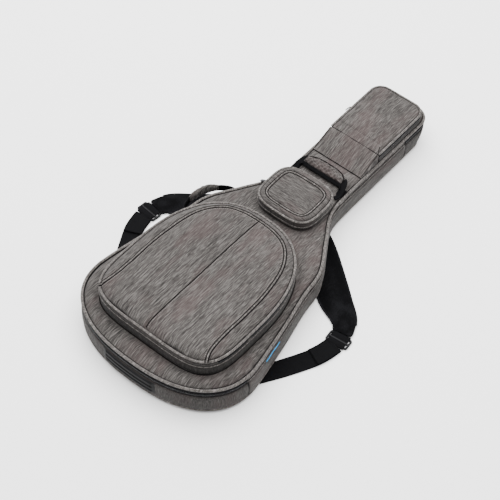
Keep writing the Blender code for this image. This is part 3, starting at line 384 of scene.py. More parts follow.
def strap_cloth(name, base, pitch, stripes=True, rough=0.78):
    """Woven nylon on a strip whose UV runs in metres: cross ribs and lengthwise warp lines."""
    mat, tree, shader = new_material(name, rough, sheen=0.0, specular=0.03)
    place = add(tree, "ShaderNodeTexCoord").outputs["UV"]
    ribs = add(tree, "ShaderNodeTexWave", {"Vector": place, "Scale": 0.314 / pitch, "Distortion": 0.5,
                                           "Detail Scale": 0.3}, bands_direction="X").outputs["Fac"]
    warp = add(tree, "ShaderNodeTexWave", {"Vector": place, "Scale": 0.314 / (pitch * 2.2), "Distortion": 0.3,
                                           "Detail Scale": 0.3}, bands_direction="Y").outputs["Fac"]
    height = sum_of(tree, ribs, warp, 0.8 if stripes else 0.3)
    wear = grain(tree, place, Vector((70.0, 260.0, 1.0)), 3.0, 0.6)
    shade = sum_of(tree, height, wear, 1.3)
    low, high = (tuple(c * k for c in base) for k in (0.55, 2.3))
    tree.links.new(ramp(tree, shade, ((0.55, low), (0.95, base), (1.0, high))), shader.inputs["Base Color"])
    bumped(tree, shader, height, 0.0005, 0.6)
    return mat


def air_mesh(name, base=(0.0030, 0.0030, 0.0034)):
    """Spacer mesh: a grid of small open cells over dark foam."""
    mat, tree, shader = new_material(name, 0.92, sheen=0.0, specular=0.03)
    place = add(tree, "ShaderNodeTexCoord").outputs["Object"]
    cells = add(tree, "ShaderNodeTexVoronoi", {"Vector": place, "Scale": 330.0, "Randomness": 0.25},
                feature="F1").outputs["Distance"]
    wear = grain(tree, place, Vector((40.0, 40.0, 40.0)), 3.0, 0.6)
    tint = ramp(tree, sum_of(tree, cells, wear, 0.4),
                ((0.35, tuple(c * 2.6 for c in base)), (0.75, tuple(c * 0.6 for c in base))))
    tree.links.new(tint, shader.inputs["Base Color"])
    bumped(tree, shader, cells, 0.0012, 0.6)
    return mat


def lining_cloth(name, base=(0.017, 0.017, 0.0185)):
    """Brushed lining: soft short nap with faint lint."""
    mat, tree, shader = new_material(name, 0.95, sheen=0.06, specular=0.05)
    place = add(tree, "ShaderNodeTexCoord").outputs["Object"]
    nap = grain(tree, place, Vector((900.0, 420.0, 900.0)), 4.0, 0.7)
    cloud = grain(tree, place, Vector((22.0, 14.0, 22.0)), 4.0, 0.6)
    tint = ramp(tree, sum_of(tree, nap, cloud, 0.7),
                ((0.60, tuple(c * 0.6 for c in base)), (1.0, tuple(c * 1.5 for c in base))))
    tree.links.new(tint, shader.inputs["Base Color"])
    bumped(tree, shader, nap, 0.0006, 0.5)
    return mat


def zip_coil(name):
    mat, tree, shader = new_material(name, 0.32, coat=0.25, specular=0.55)
    place = add(tree, "ShaderNodeTexCoord").outputs["Object"]
    scuff = grain(tree, place, Vector((160.0, 160.0, 160.0)), 3.0, 0.6)
    tree.links.new(ramp(tree, scuff, ((0.4, (0.010, 0.010, 0.011)), (0.7, (0.034, 0.034, 0.036)))),
                   shader.inputs["Base Color"])
    return mat


def black_metal(name):
    """Black enamel worn to bright metal in small nicks."""
    mat, tree, shader = new_material(name, 0.34, metallic=0.75, coat=0.2)
    place = add(tree, "ShaderNodeTexCoord").outputs["Object"]
    nick = grain(tree, place, Vector((420.0, 420.0, 420.0)), 5.0, 0.65)
    tree.links.new(ramp(tree, nick, ((0.58, (0.030, 0.030, 0.033)), (0.74, (0.30, 0.30, 0.31)))),
                   shader.inputs["Base Color"])
    gloss = add(tree, "ShaderNodeMapRange", {"Value": nick, "To Min": 0.24, "To Max": 0.50})
    tree.links.new(gloss.outputs["Result"], shader.inputs["Roughness"])
    bumped(tree, shader, nick, 0.0002, 0.3)
    return mat


def moulded(name, base, rough, pitch):
    """Moulded plastic or rubber with a fine spark-eroded grain and rubbed high spots."""
    mat, tree, shader = new_material(name, rough, specular=0.10)
    place = add(tree, "ShaderNodeTexCoord").outputs["Object"]
    skin = grain(tree, place, Vector((1, 1, 1)) / pitch, 4.0, 0.6)
    rub = grain(tree, place, Vector((38.0, 38.0, 38.0)), 3.0, 0.6)
    tree.links.new(ramp(tree, rub,
                        ((0.35, tuple(c * 0.7 for c in base)), (0.70, tuple(c * 2.0 for c in base)))),
                   shader.inputs["Base Color"])
    gloss = add(tree, "ShaderNodeMapRange", {"Value": rub, "To Min": rough - 0.10, "To Max": rough + 0.14})
    tree.links.new(gloss.outputs["Result"], shader.inputs["Roughness"])
    bumped(tree, shader, skin, 0.0003, 0.4)
    return mat


MAT = {
    "panel": heather("heather_lengthways", "y"),
    "across": heather("heather_across", "x"),
    # side, wall and shade are the same heather darkened step by step for upright walls: painted shade, not
    # other cloths
    "side": heather("heather_side_painted_shade", "side", 0.80),
    "wall": heather("heather_wall_painted_shade", "z", 0.66),
    "shade": heather("heather_wall_deep_painted_shade", "z", 0.42),
    "piping": piping_cloth("piping_melange"),
    "lining": lining_cloth("brushed_lining"),
    "foam": lining_cloth("brushed_cradle_cover", (0.010, 0.010, 0.0115)),
    "webbing": strap_cloth("woven_webbing", (0.0016, 0.0016, 0.0018), 0.0016),
    "tape": strap_cloth("zip_tape_weave", (0.0040, 0.0040, 0.0045), 0.0009, False),
    "binding": strap_cloth("grosgrain_binding", (0.0042, 0.0042, 0.0048), 0.0012, False),
    "label": strap_cloth("cyan_label", (0.000, 0.235, 0.560), 0.0007, False, 0.6),
    # thread is real dark stitching and also the dark tubes laid as painted shade in creases and seams
    "thread": strap_cloth("dark_thread_and_painted_shade", (0.0035, 0.0032, 0.0032), 0.0005, False, 0.6),
    "pale_thread": strap_cloth("grey_thread", (0.110, 0.100, 0.094), 0.0005, False, 0.7),
    "mesh": air_mesh("spacer_mesh"),
    "coil": zip_coil("nylon_coil"),
    "metal": black_metal("worn_black_enamel"),
    "plastic": moulded("moulded_acetal", (0.004, 0.004, 0.0046), 0.45, 0.0011),
    "rubber": moulded("ribbed_rubber", (0.004, 0.004, 0.0043), 0.50, 0.0016),
}


# ================================================================= making pieces
def piece(name, verts, faces, body, kind, uvs=None, stands_for=()):
    mesh = bpy.data.meshes.new(name)
    mesh.from_pydata([tuple(v) for v in verts], [], [tuple(f) for f in faces])
    if uvs is not None:
        layer = mesh.uv_layers.new(name="UVMap")
        corners = np.empty(len(mesh.loops), dtype=int)
        mesh.loops.foreach_get("vertex_index", corners)
        layer.data.foreach_set("uv", np.asarray(uvs, np.float32)[corners].ravel())
    obj = bpy.data.objects.new(name, mesh)
    return dress(obj, body, kind, stands_for)


def dress(obj, body, kind, stands_for=()):
    """Link a piece, give it its material, and ride it on its body."""
    if obj.name not in bpy.context.scene.collection.objects:
        bpy.context.scene.collection.objects.link(obj)
    obj.data.materials.clear()
    obj.data.materials.append(MAT[kind])
    obj.data.shade_smooth()
    if body:
        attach(obj, body)
    if stands_for:
        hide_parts(*stands_for)
    return obj


def outward_faces(obj):
    bm = bmesh.new()
    bm.from_mesh(obj.data)
    bmesh.ops.recalc_face_normals(bm, faces=bm.faces)
    bm.to_mesh(obj.data)
    bm.free()


def loft(name, sections, body, kind, closed=False, stands_for=(), sharp=None):
    """Closed skin through ring sections; UVs run in metres along and round."""
    rings = np.asarray(sections, float)
    count, sides = rings.shape[:2]
    verts = rings.reshape(-1, 3)
    faces = []
    for i in range(count if closed else count - 1):
        j = (i + 1) % count
        for k in range(sides):
            m = (k + 1) % sides
            faces.append((i * sides + k, i * sides + m, j * sides + m, j * sides + k))
    if not closed:
        faces.append(tuple(range(sides))[::-1])
        faces.append(tuple((count - 1) * sides + k for k in range(sides)))
    centre = rings.mean(axis=1)
    along = np.concatenate(([0.0], np.cumsum(np.linalg.norm(np.diff(centre, axis=0), axis=1))))
    girth = np.concatenate(([0.0], np.cumsum(np.linalg.norm(np.diff(rings[count // 2], axis=0), axis=1))))
    uvs = np.column_stack((np.repeat(along, sides), np.tile(girth, count)))
    obj = piece(name, verts, faces, body, kind, uvs, stands_for)
    outward_faces(obj)
    if sharp:
        obj.data.set_sharp_from_angle(angle=math.radians(sharp))
    return obj


def directions(path, closed=False):
    """Unit tangents of a 3-D path."""
    path = np.asarray(path, float)
    if closed:
        t = np.roll(path, -1, axis=0) - np.roll(path, 1, axis=0)
    else:
        t = np.gradient(path, axis=0)
    return t / np.maximum(np.linalg.norm(t, axis=1), 1e-12)[:, None]


def tube(name, path, radius, body, kind, closed=False, sides=10, stands_for=(), squash=1.0, up=(0, 0, 1)):
    path = np.asarray(path, float)
    along = directions(path, closed)
    side = np.cross(along, np.asarray(up, float))
    side /= np.maximum(np.linalg.norm(side, axis=1), 1e-9)[:, None]
    rise = np.cross(side, along)
    radius = np.broadcast_to(np.asarray(radius, float), (len(path),))
    angles = np.linspace(0, 2 * math.pi, sides, endpoint=False)
    rings = [p + r * (np.outer(np.cos(angles), s) + squash * np.outer(np.sin(angles), u))
             for p, r, s, u in zip(path, radius, side, rise)]
    return loft(name, rings, body, kind, closed, stands_for)


def strip(name, path, across, width, thick, body, kind, stands_for=(), wave=0.0):
    """Woven strip with thickened selvedges; across is its width direction at each point."""
    path, across = np.asarray(path, float), np.asarray(across, float)
    across = np.broadcast_to(across, path.shape)
    along = directions(path)
    across = across - along * np.einsum("ij,ij->i", across, along)[:, None]
    across = across / np.linalg.norm(across, axis=1)[:, None]
    rise = np.cross(along, across)
    width = np.broadcast_to(np.asarray(width, float), (len(path),))
    h = thick / 2
    profile = [(-0.5, -0.5), (-0.46, -1), (-0.2, -0.85), (0.2, -0.85), (0.46, -1), (0.5, -0.5),
               (0.5, 0.5), (0.46, 1), (0.2, 0.85), (-0.2, 0.85), (-0.46, 1), (-0.5, 0.5)]
    rings = []
    for i, (p, a, r, w) in enumerate(zip(path, across, rise, width)):
        sway = wave * math.sin(i * 0.37) * r
        rings.append([p + sway + a * (u * w) + r * (v * h) for u, v in profile])
    return loft(name, rings, body, kind, stands_for=stands_for)


def wall(name, path, low, high, thick, bulge, body, kind, place=bag, closed=False, stands_for=(), rows=10,
         ripple=0.0):
    """Padded upright wall along a plan path (outward on the path's right), crowned between its seams."""
    plan = np.asarray(path, float)
    t = directions(np.column_stack((plan, np.zeros(len(plan)))), closed)[:, :2]
    rings = []
    for p, n in zip(plan, rightwards(t)):
        z0, z1 = low(p), high(p)
        slack = ripple * (math.sin(p[1] * 53.0) + 0.6 * math.sin(p[0] * 71.0 + p[1] * 31.0))
        ring = []
        for r in range(rows + 1):
            share = r / rows
            swell_out = (bulge + slack) * math.sin(math.pi * share) ** 0.7 - 0.0006
            q = p + n * swell_out
            ring.append((q[0], q[1], z0 + (z1 - z0) * share))
        inner = p - n * thick
        ring += [(inner[0], inner[1], z1), (inner[0], inner[1], (z0 + z1) / 2), (inner[0], inner[1], z0)]
        rings.append(place(ring))
    obj = loft(name, rings, body, kind, closed, stands_for)
    return obj


def coil(name, path, radius, pitch, body, closed=False):
    """Zip teeth: one nylon filament wound along the path."""
    path = even(path, pitch / 7, closed)
    along = directions(path, closed)
    side = np.cross(along, (0.0, 0.0, 1.0))
    side /= np.linalg.norm(side, axis=1)[:, None]
    rise = np.cross(side, along)
    turn = np.arange(len(path)) * 2 * math.pi / 7
    centre = path + radius * (np.cos(turn)[:, None] * rise + 0.55 * np.sin(turn)[:, None] * side)
    sides = 4
    angles = np.linspace(0, 2 * math.pi, sides, endpoint=False)
    rings = [c + 0.00042 * (np.outer(np.cos(angles), s) + np.outer(np.sin(angles), u))
             for c, s, u in zip(centre, side, rise)]
    return loft(name, rings, body, "coil")


def stitches(name, path, body, kind="thread", length=0.0032, gap=0.0016, radius=0.00042, closed=False):
    """Row of thread stitches lying on a path."""
    path = even(path, 0.0008, closed)
    if closed:
        path = np.vstack((path, path[:1]))
    along = directions(path)
    gaps = np.linalg.norm(np.diff(path, axis=0), axis=1)
    marks = np.concatenate(([0.0], np.cumsum(gaps)))
    verts, faces, uvs = [], [], []
    start = gap
    while start + length < marks[-1]:
        stations = np.linspace(start, start + length, 4)
        centre = np.column_stack([np.interp(stations, marks, path[:, k]) for k in range(3)])
        t = along[min(int(np.searchsorted(marks, start)), len(along) - 1)]
        side = np.cross(t, (0.0, 0.0, 1.0))
        if np.linalg.norm(side) < 0.2:
            side = np.cross(t, (1.0, 0.0, 0.0))
        side /= np.linalg.norm(side)
        rise = np.cross(side, t)
        base = len(verts)
        for j, c in enumerate(centre):
            sink = -0.6 * radius if j in (0, 3) else 0.5 * radius
            r = radius * (0.7 if j in (0, 3) else 1.0)
            for angle in range(5):
                a = angle * 2 * math.pi / 5
                verts.append(c + rise * (sink + r * math.sin(a)) + side * r * math.cos(a))
                uvs.append((stations[j], angle * 0.0005))
        for j in range(3):
            for k in range(5):
                m = (k + 1) % 5
                faces.append((base + j * 5 + k, base + j * 5 + m, base + j * 5 + 5 + m, base + j * 5 + 5 + k))
        faces.append(tuple(base + k for k in range(5))[::-1])
        faces.append(tuple(base + 15 + k for k in range(5)))
        start += length + gap
    return piece(name, verts, faces, body, kind, uvs)


def quilt(name, outline, top, under, rim, columns, body, kind, place=front, stands_for=()):
    """Closed pad over a symmetric outline. top and under give heights from plan points and their distance
    to the edge; rim gives the height of the seam where the two skins meet."""
    half = outline.half
    rows = len(half)
    share = np.linspace(-1, 1, columns)
    plan = np.array([(x * u, s) for x, s in half[1:-1] for u in share])
    ends = np.array([half[0], half[-1]])
    plan = np.vstack((plan, ends))
    depth = outline.distance(plan)
    edge = np.zeros(len(plan), bool)
    grid = np.arange((rows - 2) * columns).reshape(rows - 2, columns)
    edge[grid[:, 0]] = edge[grid[:, -1]] = True
    edge[-2:] = True
    depth[edge] = 0.0
    high = np.where(edge, rim(plan), top(plan, depth))
    low = np.where(edge, rim(plan), under(plan, depth))
    upper = place(np.column_stack((plan, high)))
    lower = place(np.column_stack((plan, low)))
    count = len(plan)
    remap = np.arange(count) + count
    remap[edge] = np.arange(count)[edge]
    verts = np.vstack((upper, lower))
    faces = []
    for i in range(rows - 3):
        for j in range(columns - 1):
            a, b, c, d = grid[i, j], grid[i, j + 1], grid[i + 1, j + 1], grid[i + 1, j]
            faces.append((a, b, c, d))
            faces.append((remap[d], remap[c], remap[b], remap[a]))
    first, last = count - 2, count - 1
    for j in range(columns - 1):
        a, b = grid[0, j], grid[0, j + 1]
        faces.append((first, b, a))
        faces.append((first, remap[a], remap[b]))
        a, b = grid[-1, j], grid[-1, j + 1]
        faces.append((last, a, b))
        faces.append((last, remap[b], remap[a]))
    used = sorted({int(v) for f in faces for v in f})
    index = {v: k for k, v in enumerate(used)}
    obj = piece(name, verts[used], [[index[int(v)] for v in f] for f in faces], body, kind, None, stands_for)
    outward_faces(obj)
    where = {"plan": np.vstack((plan, plan))[used], "depth": np.concatenate((depth, depth))[used],
             "upper": np.array([v < count for v in used])}
    return obj, where


def swell(obj, held, cap, pressure=4.0, frames=20, shrink=0.0, levels=1):
    """Inflate a closed skin with the Cloth solver, held weights pinning its seams, then keep the result."""
    rest = np.array([v.co for v in obj.data.vertices])
    group = obj.vertex_groups.new(name="held")
    for i, weight in enumerate(held):
        if weight > 0:
            group.add([i], float(weight), "REPLACE")
    cloth = obj.modifiers.new("Cloth", "CLOTH")
    settings = cloth.settings
    settings.quality = 5
    settings.mass = 0.25
    settings.tension_stiffness = settings.compression_stiffness = 12
    settings.shear_stiffness = 5
    settings.bending_stiffness = 0.8
    settings.use_pressure = True
    settings.uniform_pressure_force = pressure
    settings.shrink_min = shrink
    settings.vertex_group_mass = "held"
    settings.pin_stiffness = 1.0
    settings.effector_weights.gravity = 0
    cloth.collision_settings.use_collision = False
    cloth.point_cache.frame_start = 1
    cloth.point_cache.frame_end = frames
    scene = bpy.context.scene
    for number in range(1, frames + 1):
        scene.frame_set(number)
    mesh = obj.evaluated_get(bpy.context.evaluated_depsgraph_get()).to_mesh()
    moved = np.array([v.co for v in mesh.vertices])
    obj.modifiers.remove(cloth)
    obj.vertex_groups.clear()
    scene.frame_set(1)
    shift = moved - rest
    size = np.linalg.norm(shift, axis=1)
    shift *= (cap * np.tanh(size / cap) / np.maximum(size, 1e-9))[:, None]
    rest = rest + shift
    obj.data.vertices.foreach_set("co", rest.astype(np.float32).ravel())
    obj.data.update()
    if levels:
        finer = obj.modifiers.new("finer", "SUBSURF")
        finer.levels = finer.render_levels = levels


def swell_solid(name, node, voxel, cap, body, kind, start=0.0008, pressure=4.0):
    """Soft copy of one CAD solid: remeshed, shrunk a little, inflated and smoothed."""
    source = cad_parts[node]
    mesh = source.data.copy()
    mesh.materials.clear()
    obj = bpy.data.objects.new(name, mesh)
    bpy.context.scene.collection.objects.link(obj)
    remesh = obj.modifiers.new("remesh", "REMESH")
    remesh.mode = "VOXEL"
    remesh.voxel_size = voxel
    done = bpy.data.meshes.new_from_object(obj.evaluated_get(bpy.context.evaluated_depsgraph_get()))
    obj.modifiers.clear()
    obj.data = done
    normals = np.array([v.normal for v in done.vertices])
    co = np.array([v.co for v in done.vertices]) - normals * start
    done.vertices.foreach_set("co", co.astype(np.float32).ravel())
    dress(obj, body, kind, (node,))
    relax = obj.modifiers.new("relax", "SMOOTH")
    relax.factor, relax.iterations = 0.5, 4
    done = bpy.data.meshes.new_from_object(obj.evaluated_get(bpy.context.evaluated_depsgraph_get()))
    obj.modifiers.clear()
    obj.data = done
    obj.data.shade_smooth()
    swell(obj, np.zeros(len(done.vertices)), cap, pressure, frames=12)
    return obj


def surface(obj):
    done = obj.evaluated_get(bpy.context.evaluated_depsgraph_get())
    mesh = done.to_mesh()
    return BVHTree.FromPolygons([v.co.copy() for v in mesh.vertices],
                                [tuple(p.vertices) for p in mesh.polygons])


FRONT_NORMAL = Vector((0.0, math.sin(SLOPE), math.cos(SLOPE)))


def lay(plan, tree, lift, fallback=0.05):
    """Plan points on the front plane dropped onto a skin, then lifted."""
    out = []
    for x, s in plan:
        start = Vector(front((x, s, 0.12))[0])
        hit = tree.ray_cast(start, -FRONT_NORMAL)[0]
        base = np.array(hit) if hit is not None else front((x, s, fallback))[0]
        out.append(base + np.array(FRONT_NORMAL) * lift)
    return np.array(out)


def ease(value, width):
    """Rises from 0 at 0 to 1 at width, steep first and level at the end."""
    t = np.clip(value / width, 0, 1)
    return np.sqrt(np.maximum(1 - (1 - t) ** 2, 0))


def smooth_step(value, low, high):
    t = np.clip((value - low) / (high - low), 0, 1)
    return t * t * (3 - 2 * t)


def ditch(distance, width):
    return np.exp(-(distance / width) ** 2)


def rumple(plan, scale, seed=0.0):
    """Gentle unevenness of hand-stuffed fabric, the same on every run."""
    x, s = plan[:, 0] * scale, plan[:, 1] * scale
    return (np.sin(1.3 * x + 2.1 * s + seed) + np.sin(2.3 * x - 1.7 * s + 1.7 * seed)
            + 0.6 * np.sin(4.1 * x + 3.3 * s + 2.9 * seed)) / 2.6


def level(height):
    return lambda p: height


def under_front(height):
    """Bag-frame height of a level on the front plane, for walls built upright."""
    return lambda p: DEPTH - math.tan(SLOPE) * p[1] + height


def loop_path(outline, height, place=front):
    p = outline.points
    return place(np.column_stack((p, np.full(len(p), height))))


def path_at(plan, height, place=front):
    plan = np.asarray(plan, float)
    return place(np.column_stack((plan, np.broadcast_to(height, (len(plan),)))))


def piped(name, outline, height, radius, body, node, place=front, seam=0.0015):
    """Piping cord round an outline, with a dark tube inside it as painted shade in the sewn crease."""
    tube(name, loop_path(outline, height, place), radius, body, "piping", True, 12, (node,))
    inner = outline.inset(radius + seam * 0.4)
    drop = height + (radius * 0.15 if place is front else -radius * 0.15)
    # dark tube: painted shade in the crease beside the cord
    tube(name + "_crease", loop_path(inner, drop, place), seam, body, "thread", True, 6)


# ================================================================= shell
def build_back():
    outline = Outline(bag_half(), 0.0075).inset(2 * PIPING)
    pad, where = quilt(
        "back_pad", outline,
        top=lambda p, d: 0.0086 - 0.0035 * (1 - ease(d, 0.012)),
        under=lambda p, d: (0.0006 + 0.0040 * (1 - ease(d, 0.014))
                            + 0.0012 * ditch(np.abs(np.abs(p[:, 0]) - BACK_CHANNEL), 0.004)),
        rim=lambda p: np.full(len(p), 0.0046), columns=56, body="root", kind="panel", place=bag,
        stands_for=("back_panel",))
    held = np.where(where["depth"] < 0.010, 1.0, 0.0)
    held = np.maximum(held, ditch(np.abs(np.abs(where["plan"][:, 0]) - BACK_CHANNEL), 0.004) > 0.6)
    held = np.where(where["upper"], np.maximum(held, 0.9), np.maximum(held, 0.86))
    swell(pad, held, 0.0012, 2.0, 12, levels=0)
    piped("back_piping_cord", BAG.inset(PIPING), PIPING, PIPING, "root", "back_piping", bag)
    line = Outline(bag_half(), 0.008).inset(WALL_INSET + WALL_THICKNESS + 0.0008)
    quilt("back_lining_cloth", line, lambda p, d: 0.0104 + 0.0004 * rumple(p, 30.0) * ease(d, 0.03),
          lambda p, d: np.full(len(p), 0.0092), lambda p: np.full(len(p), 0.0098), 50, "root", "lining", bag,
          ("back_lining",))


def build_walls():
    line = BAG.inset(WALL_INSET)
    near, root, end = BOTTOM_SEAM, NECK_SEAM, LENGTH - HEAD_REACH
    at = {(side, s): line.place(side, s) for side in (1, -1) for s in (near, root, end)}
    hinge = TAPE_SPLIT - 0.0003
    around = line.total
    stretches = (("gusset_bottom", at[-1, near], at[1, near], WALL_TOP, "wall", 0.0024),
                 ("gusset_body_right", at[1, near], at[1, root], hinge, "side", 0.0034),
                 ("gusset_neck_right", at[1, root], at[1, end], hinge, "side", 0.0028),
                 ("gusset_head", at[1, end], around + at[-1, end], WALL_TOP, "wall", 0.0022),
                 ("gusset_neck_left", at[-1, end], at[-1, root], WALL_TOP, "side", 0.0028),
                 ("gusset_body_left", at[-1, root], at[-1, near], WALL_TOP, "side", 0.0026))
    for name, first, last, top, kind, bulge in stretches:
        if name in ("gusset_neck_left", "gusset_body_left"):
            first, last = around + first, around + last
        if last < first:
            last += around
        path = line.run(first + 0.0004, last - 0.0004, 0.006)
        wall(name + "_pad", path, level(WALL_LOW), under_front(top), WALL_THICKNESS - 0.0006, bulge, "root",
             kind, stands_for=(name,), ripple=0.0005)
        a, b = line.at(first), line.at(first + 0.001)
        t = (b - a) / np.linalg.norm(b - a)
        out = np.array((t[1], -t[0]))
        seam = []
        for share in np.linspace(0.02, 0.98, 14):
            q = a + out * (bulge * 0.75 * math.sin(math.pi * share) ** 0.7 + 0.0002)
            seam.append((q[0], q[1], WALL_LOW + (under_front(top)(a) - WALL_LOW) * share))
        tube(name + "_seam", bag(seam), 0.0008, "root", "thread", sides=6, up=(out[0], out[1], 0))
    low_line = BAG.inset(WALL_INSET - 0.0012)
    plan = low_line.run(at[1, near] + 0.004, at[1, end] - 0.004, 0.006)
    height = under_front(-0.0250)
    stitches("right_lower_topstitch", bag([(q[0], q[1], height(q)) for q in plan]), "root")


def build_main_zip():
    line = BAG.inset(TAPE_INSET)
    start = line.place(1, LENGTH - HEAD_REACH) - line.total
    end = line.place(1, BOTTOM_SEAM)
    path = line.run(start + 0.0004, end - 0.0004, 0.005)
    wall("main_zip_tape_lower", path, under_front(WALL_TOP + 0.0002), under_front(TAPE_SPLIT - 0.0004),
         TAPE_THICKNESS, 0.0003, "root", "tape", stands_for=("main_zip_lower_tape",), rows=4)
    wall("main_zip_tape_upper", path, level(TAPE_SPLIT + 0.0001), level(TAPE_TOP + 0.0002), TAPE_THICKNESS,
         0.0003, "lid", "tape", front, stands_for=("main_zip_upper_tape",), rows=4)
    teeth = BAG.inset(TAPE_INSET - 0.0009).run(start, end, 0.004)
    coil("main_zip_coil_lower", path_at(teeth, TAPE_SPLIT - 0.0014), *COIL_SIZE, "root")
    coil("main_zip_coil_upper", path_at(teeth, TAPE_SPLIT + 0.0014), *COIL_SIZE, "lid")
    strip_path = line.run(end + 0.0004, start + line.total - 0.0004, 0.005)
    middle = line.at((end + start + line.total) / 2)
    fold = wall("lid_hinge_fold", strip_path, level(TAPE_SPLIT), level(TAPE_TOP + 0.0005), TAPE_THICKNESS,
                0.0012, None, "panel", front, stands_for=("lid_hinge_strip",), rows=8)
    tuple(front((middle[0], middle[1], TAPE_SPLIT + 0.0006))[0])
    tuple(front((middle[0], middle[1], TAPE_TOP - 0.0006))[0])
    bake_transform(fold)
    cord = BAG.inset(WALL_INSET - 0.0004).run(end + 0.002, start + line.total - 0.002, 0.005)
    tube("hinge_side_cord", path_at(cord, TAPE_SPLIT - 0.0002), 0.0013, "root", "piping", sides=8)
    # Dark tube below the hinge cord: painted shade in its crease
    tube("hinge_side_crease", path_at(cord, TAPE_SPLIT - 0.0020), 0.0007, "root", "thread", sides=6)


def build_lid():
    outline = Outline(bag_half(), 0.0070).inset(2 * PIPING)

    def crown(p, d):
        clear = np.minimum.reduce([outside(LARGE, p), outside(SMALL, p), outside(HEAD, p),
                                   ramp_clearance(p)])
        puff = 0.0052 * smooth_step(clear, 0.001, 0.020) * smooth_step(d, 0.0, 0.018)
        uneven = 0.0006 * rumple(p, 26.0, 2.0) * smooth_step(d, 0.002, 0.02)
        return -0.0046 + 0.0044 * ease(d, 0.008) + puff + uneven

    pad, where = quilt("lid_pad", outline, crown, lambda p, d: -0.0046 - 0.0050 * ease(d, 0.008),
                       lambda p: np.full(len(p), -0.0046), 62, "lid", "panel", front, ("lid_panel",))
    plan = where["plan"]
    sewn = np.minimum.reduce([outside(LARGE, plan), outside(SMALL, plan), outside(HEAD, plan),
                              ramp_clearance(plan)])
    held = np.where((where["depth"] < 0.005) | (sewn < 0.004), 1.0, 0.0)
    held = np.where(where["upper"], held, np.maximum(held, 0.93))
    swell(pad, held, 0.0030, 3.5, 14, levels=1)
    piped("lid_piping_cord", BAG.inset(PIPING), -PIPING, PIPING, "lid", "lid_piping")
    cloth = Outline(bag_half(), 0.008).inset(0.0096)
    quilt("lid_lining_cloth", cloth, lambda p, d: np.full(len(p), -0.01035),
          lambda p, d: -0.0116 - 0.0004 * rumple(p, 30.0) * ease(d, 0.03),
          lambda p: np.full(len(p), -0.0110), 50, "lid", "lining", front, ("lid_lining",))


def inside(outline, points):
    """Which plan points an outline holds."""
    a, b = outline.points, np.roll(outline.points, -1, axis=0)
    crossing = np.zeros(len(points), int)
    for p, q in zip(a, b):
        between = (p[1] > points[:, 1]) != (q[1] > points[:, 1])
        with np.errstate(divide="ignore", invalid="ignore"):
            x = (q[0] - p[0]) * (points[:, 1] - p[1]) / (q[1] - p[1]) + p[0]
        crossing += (between & (points[:, 0] < x)).astype(int)
    return crossing % 2 == 1


def outside(outline, points):
    """Distance outside an outline, 0 within it."""
    return np.where(inside(outline, points), 0.0, outline.distance(points))


def ramp_clearance(points):
    """Distance outside the head pocket's sloping ramp, 0 on it."""
    dx = np.maximum(np.abs(points[:, 0]) - HEAD_HALF, 0)
    dy = np.maximum(np.maximum(RAMP_FOOT - points[:, 1], points[:, 1] - HEAD_SEAM), 0)
    return np.hypot(dx, dy)


# ================================================================= pockets
RING = ((0.164, 0.0715), (0.152, 0.092), (0.1455, 0.122), (0.1440, 0.165), (0.1450, 0.226), (0.1420, 0.295),
        (0.1310, 0.362), (0.1110, 0.405), (0.0830, 0.433), (0.0430, 0.447), (0.0, 0.4505))


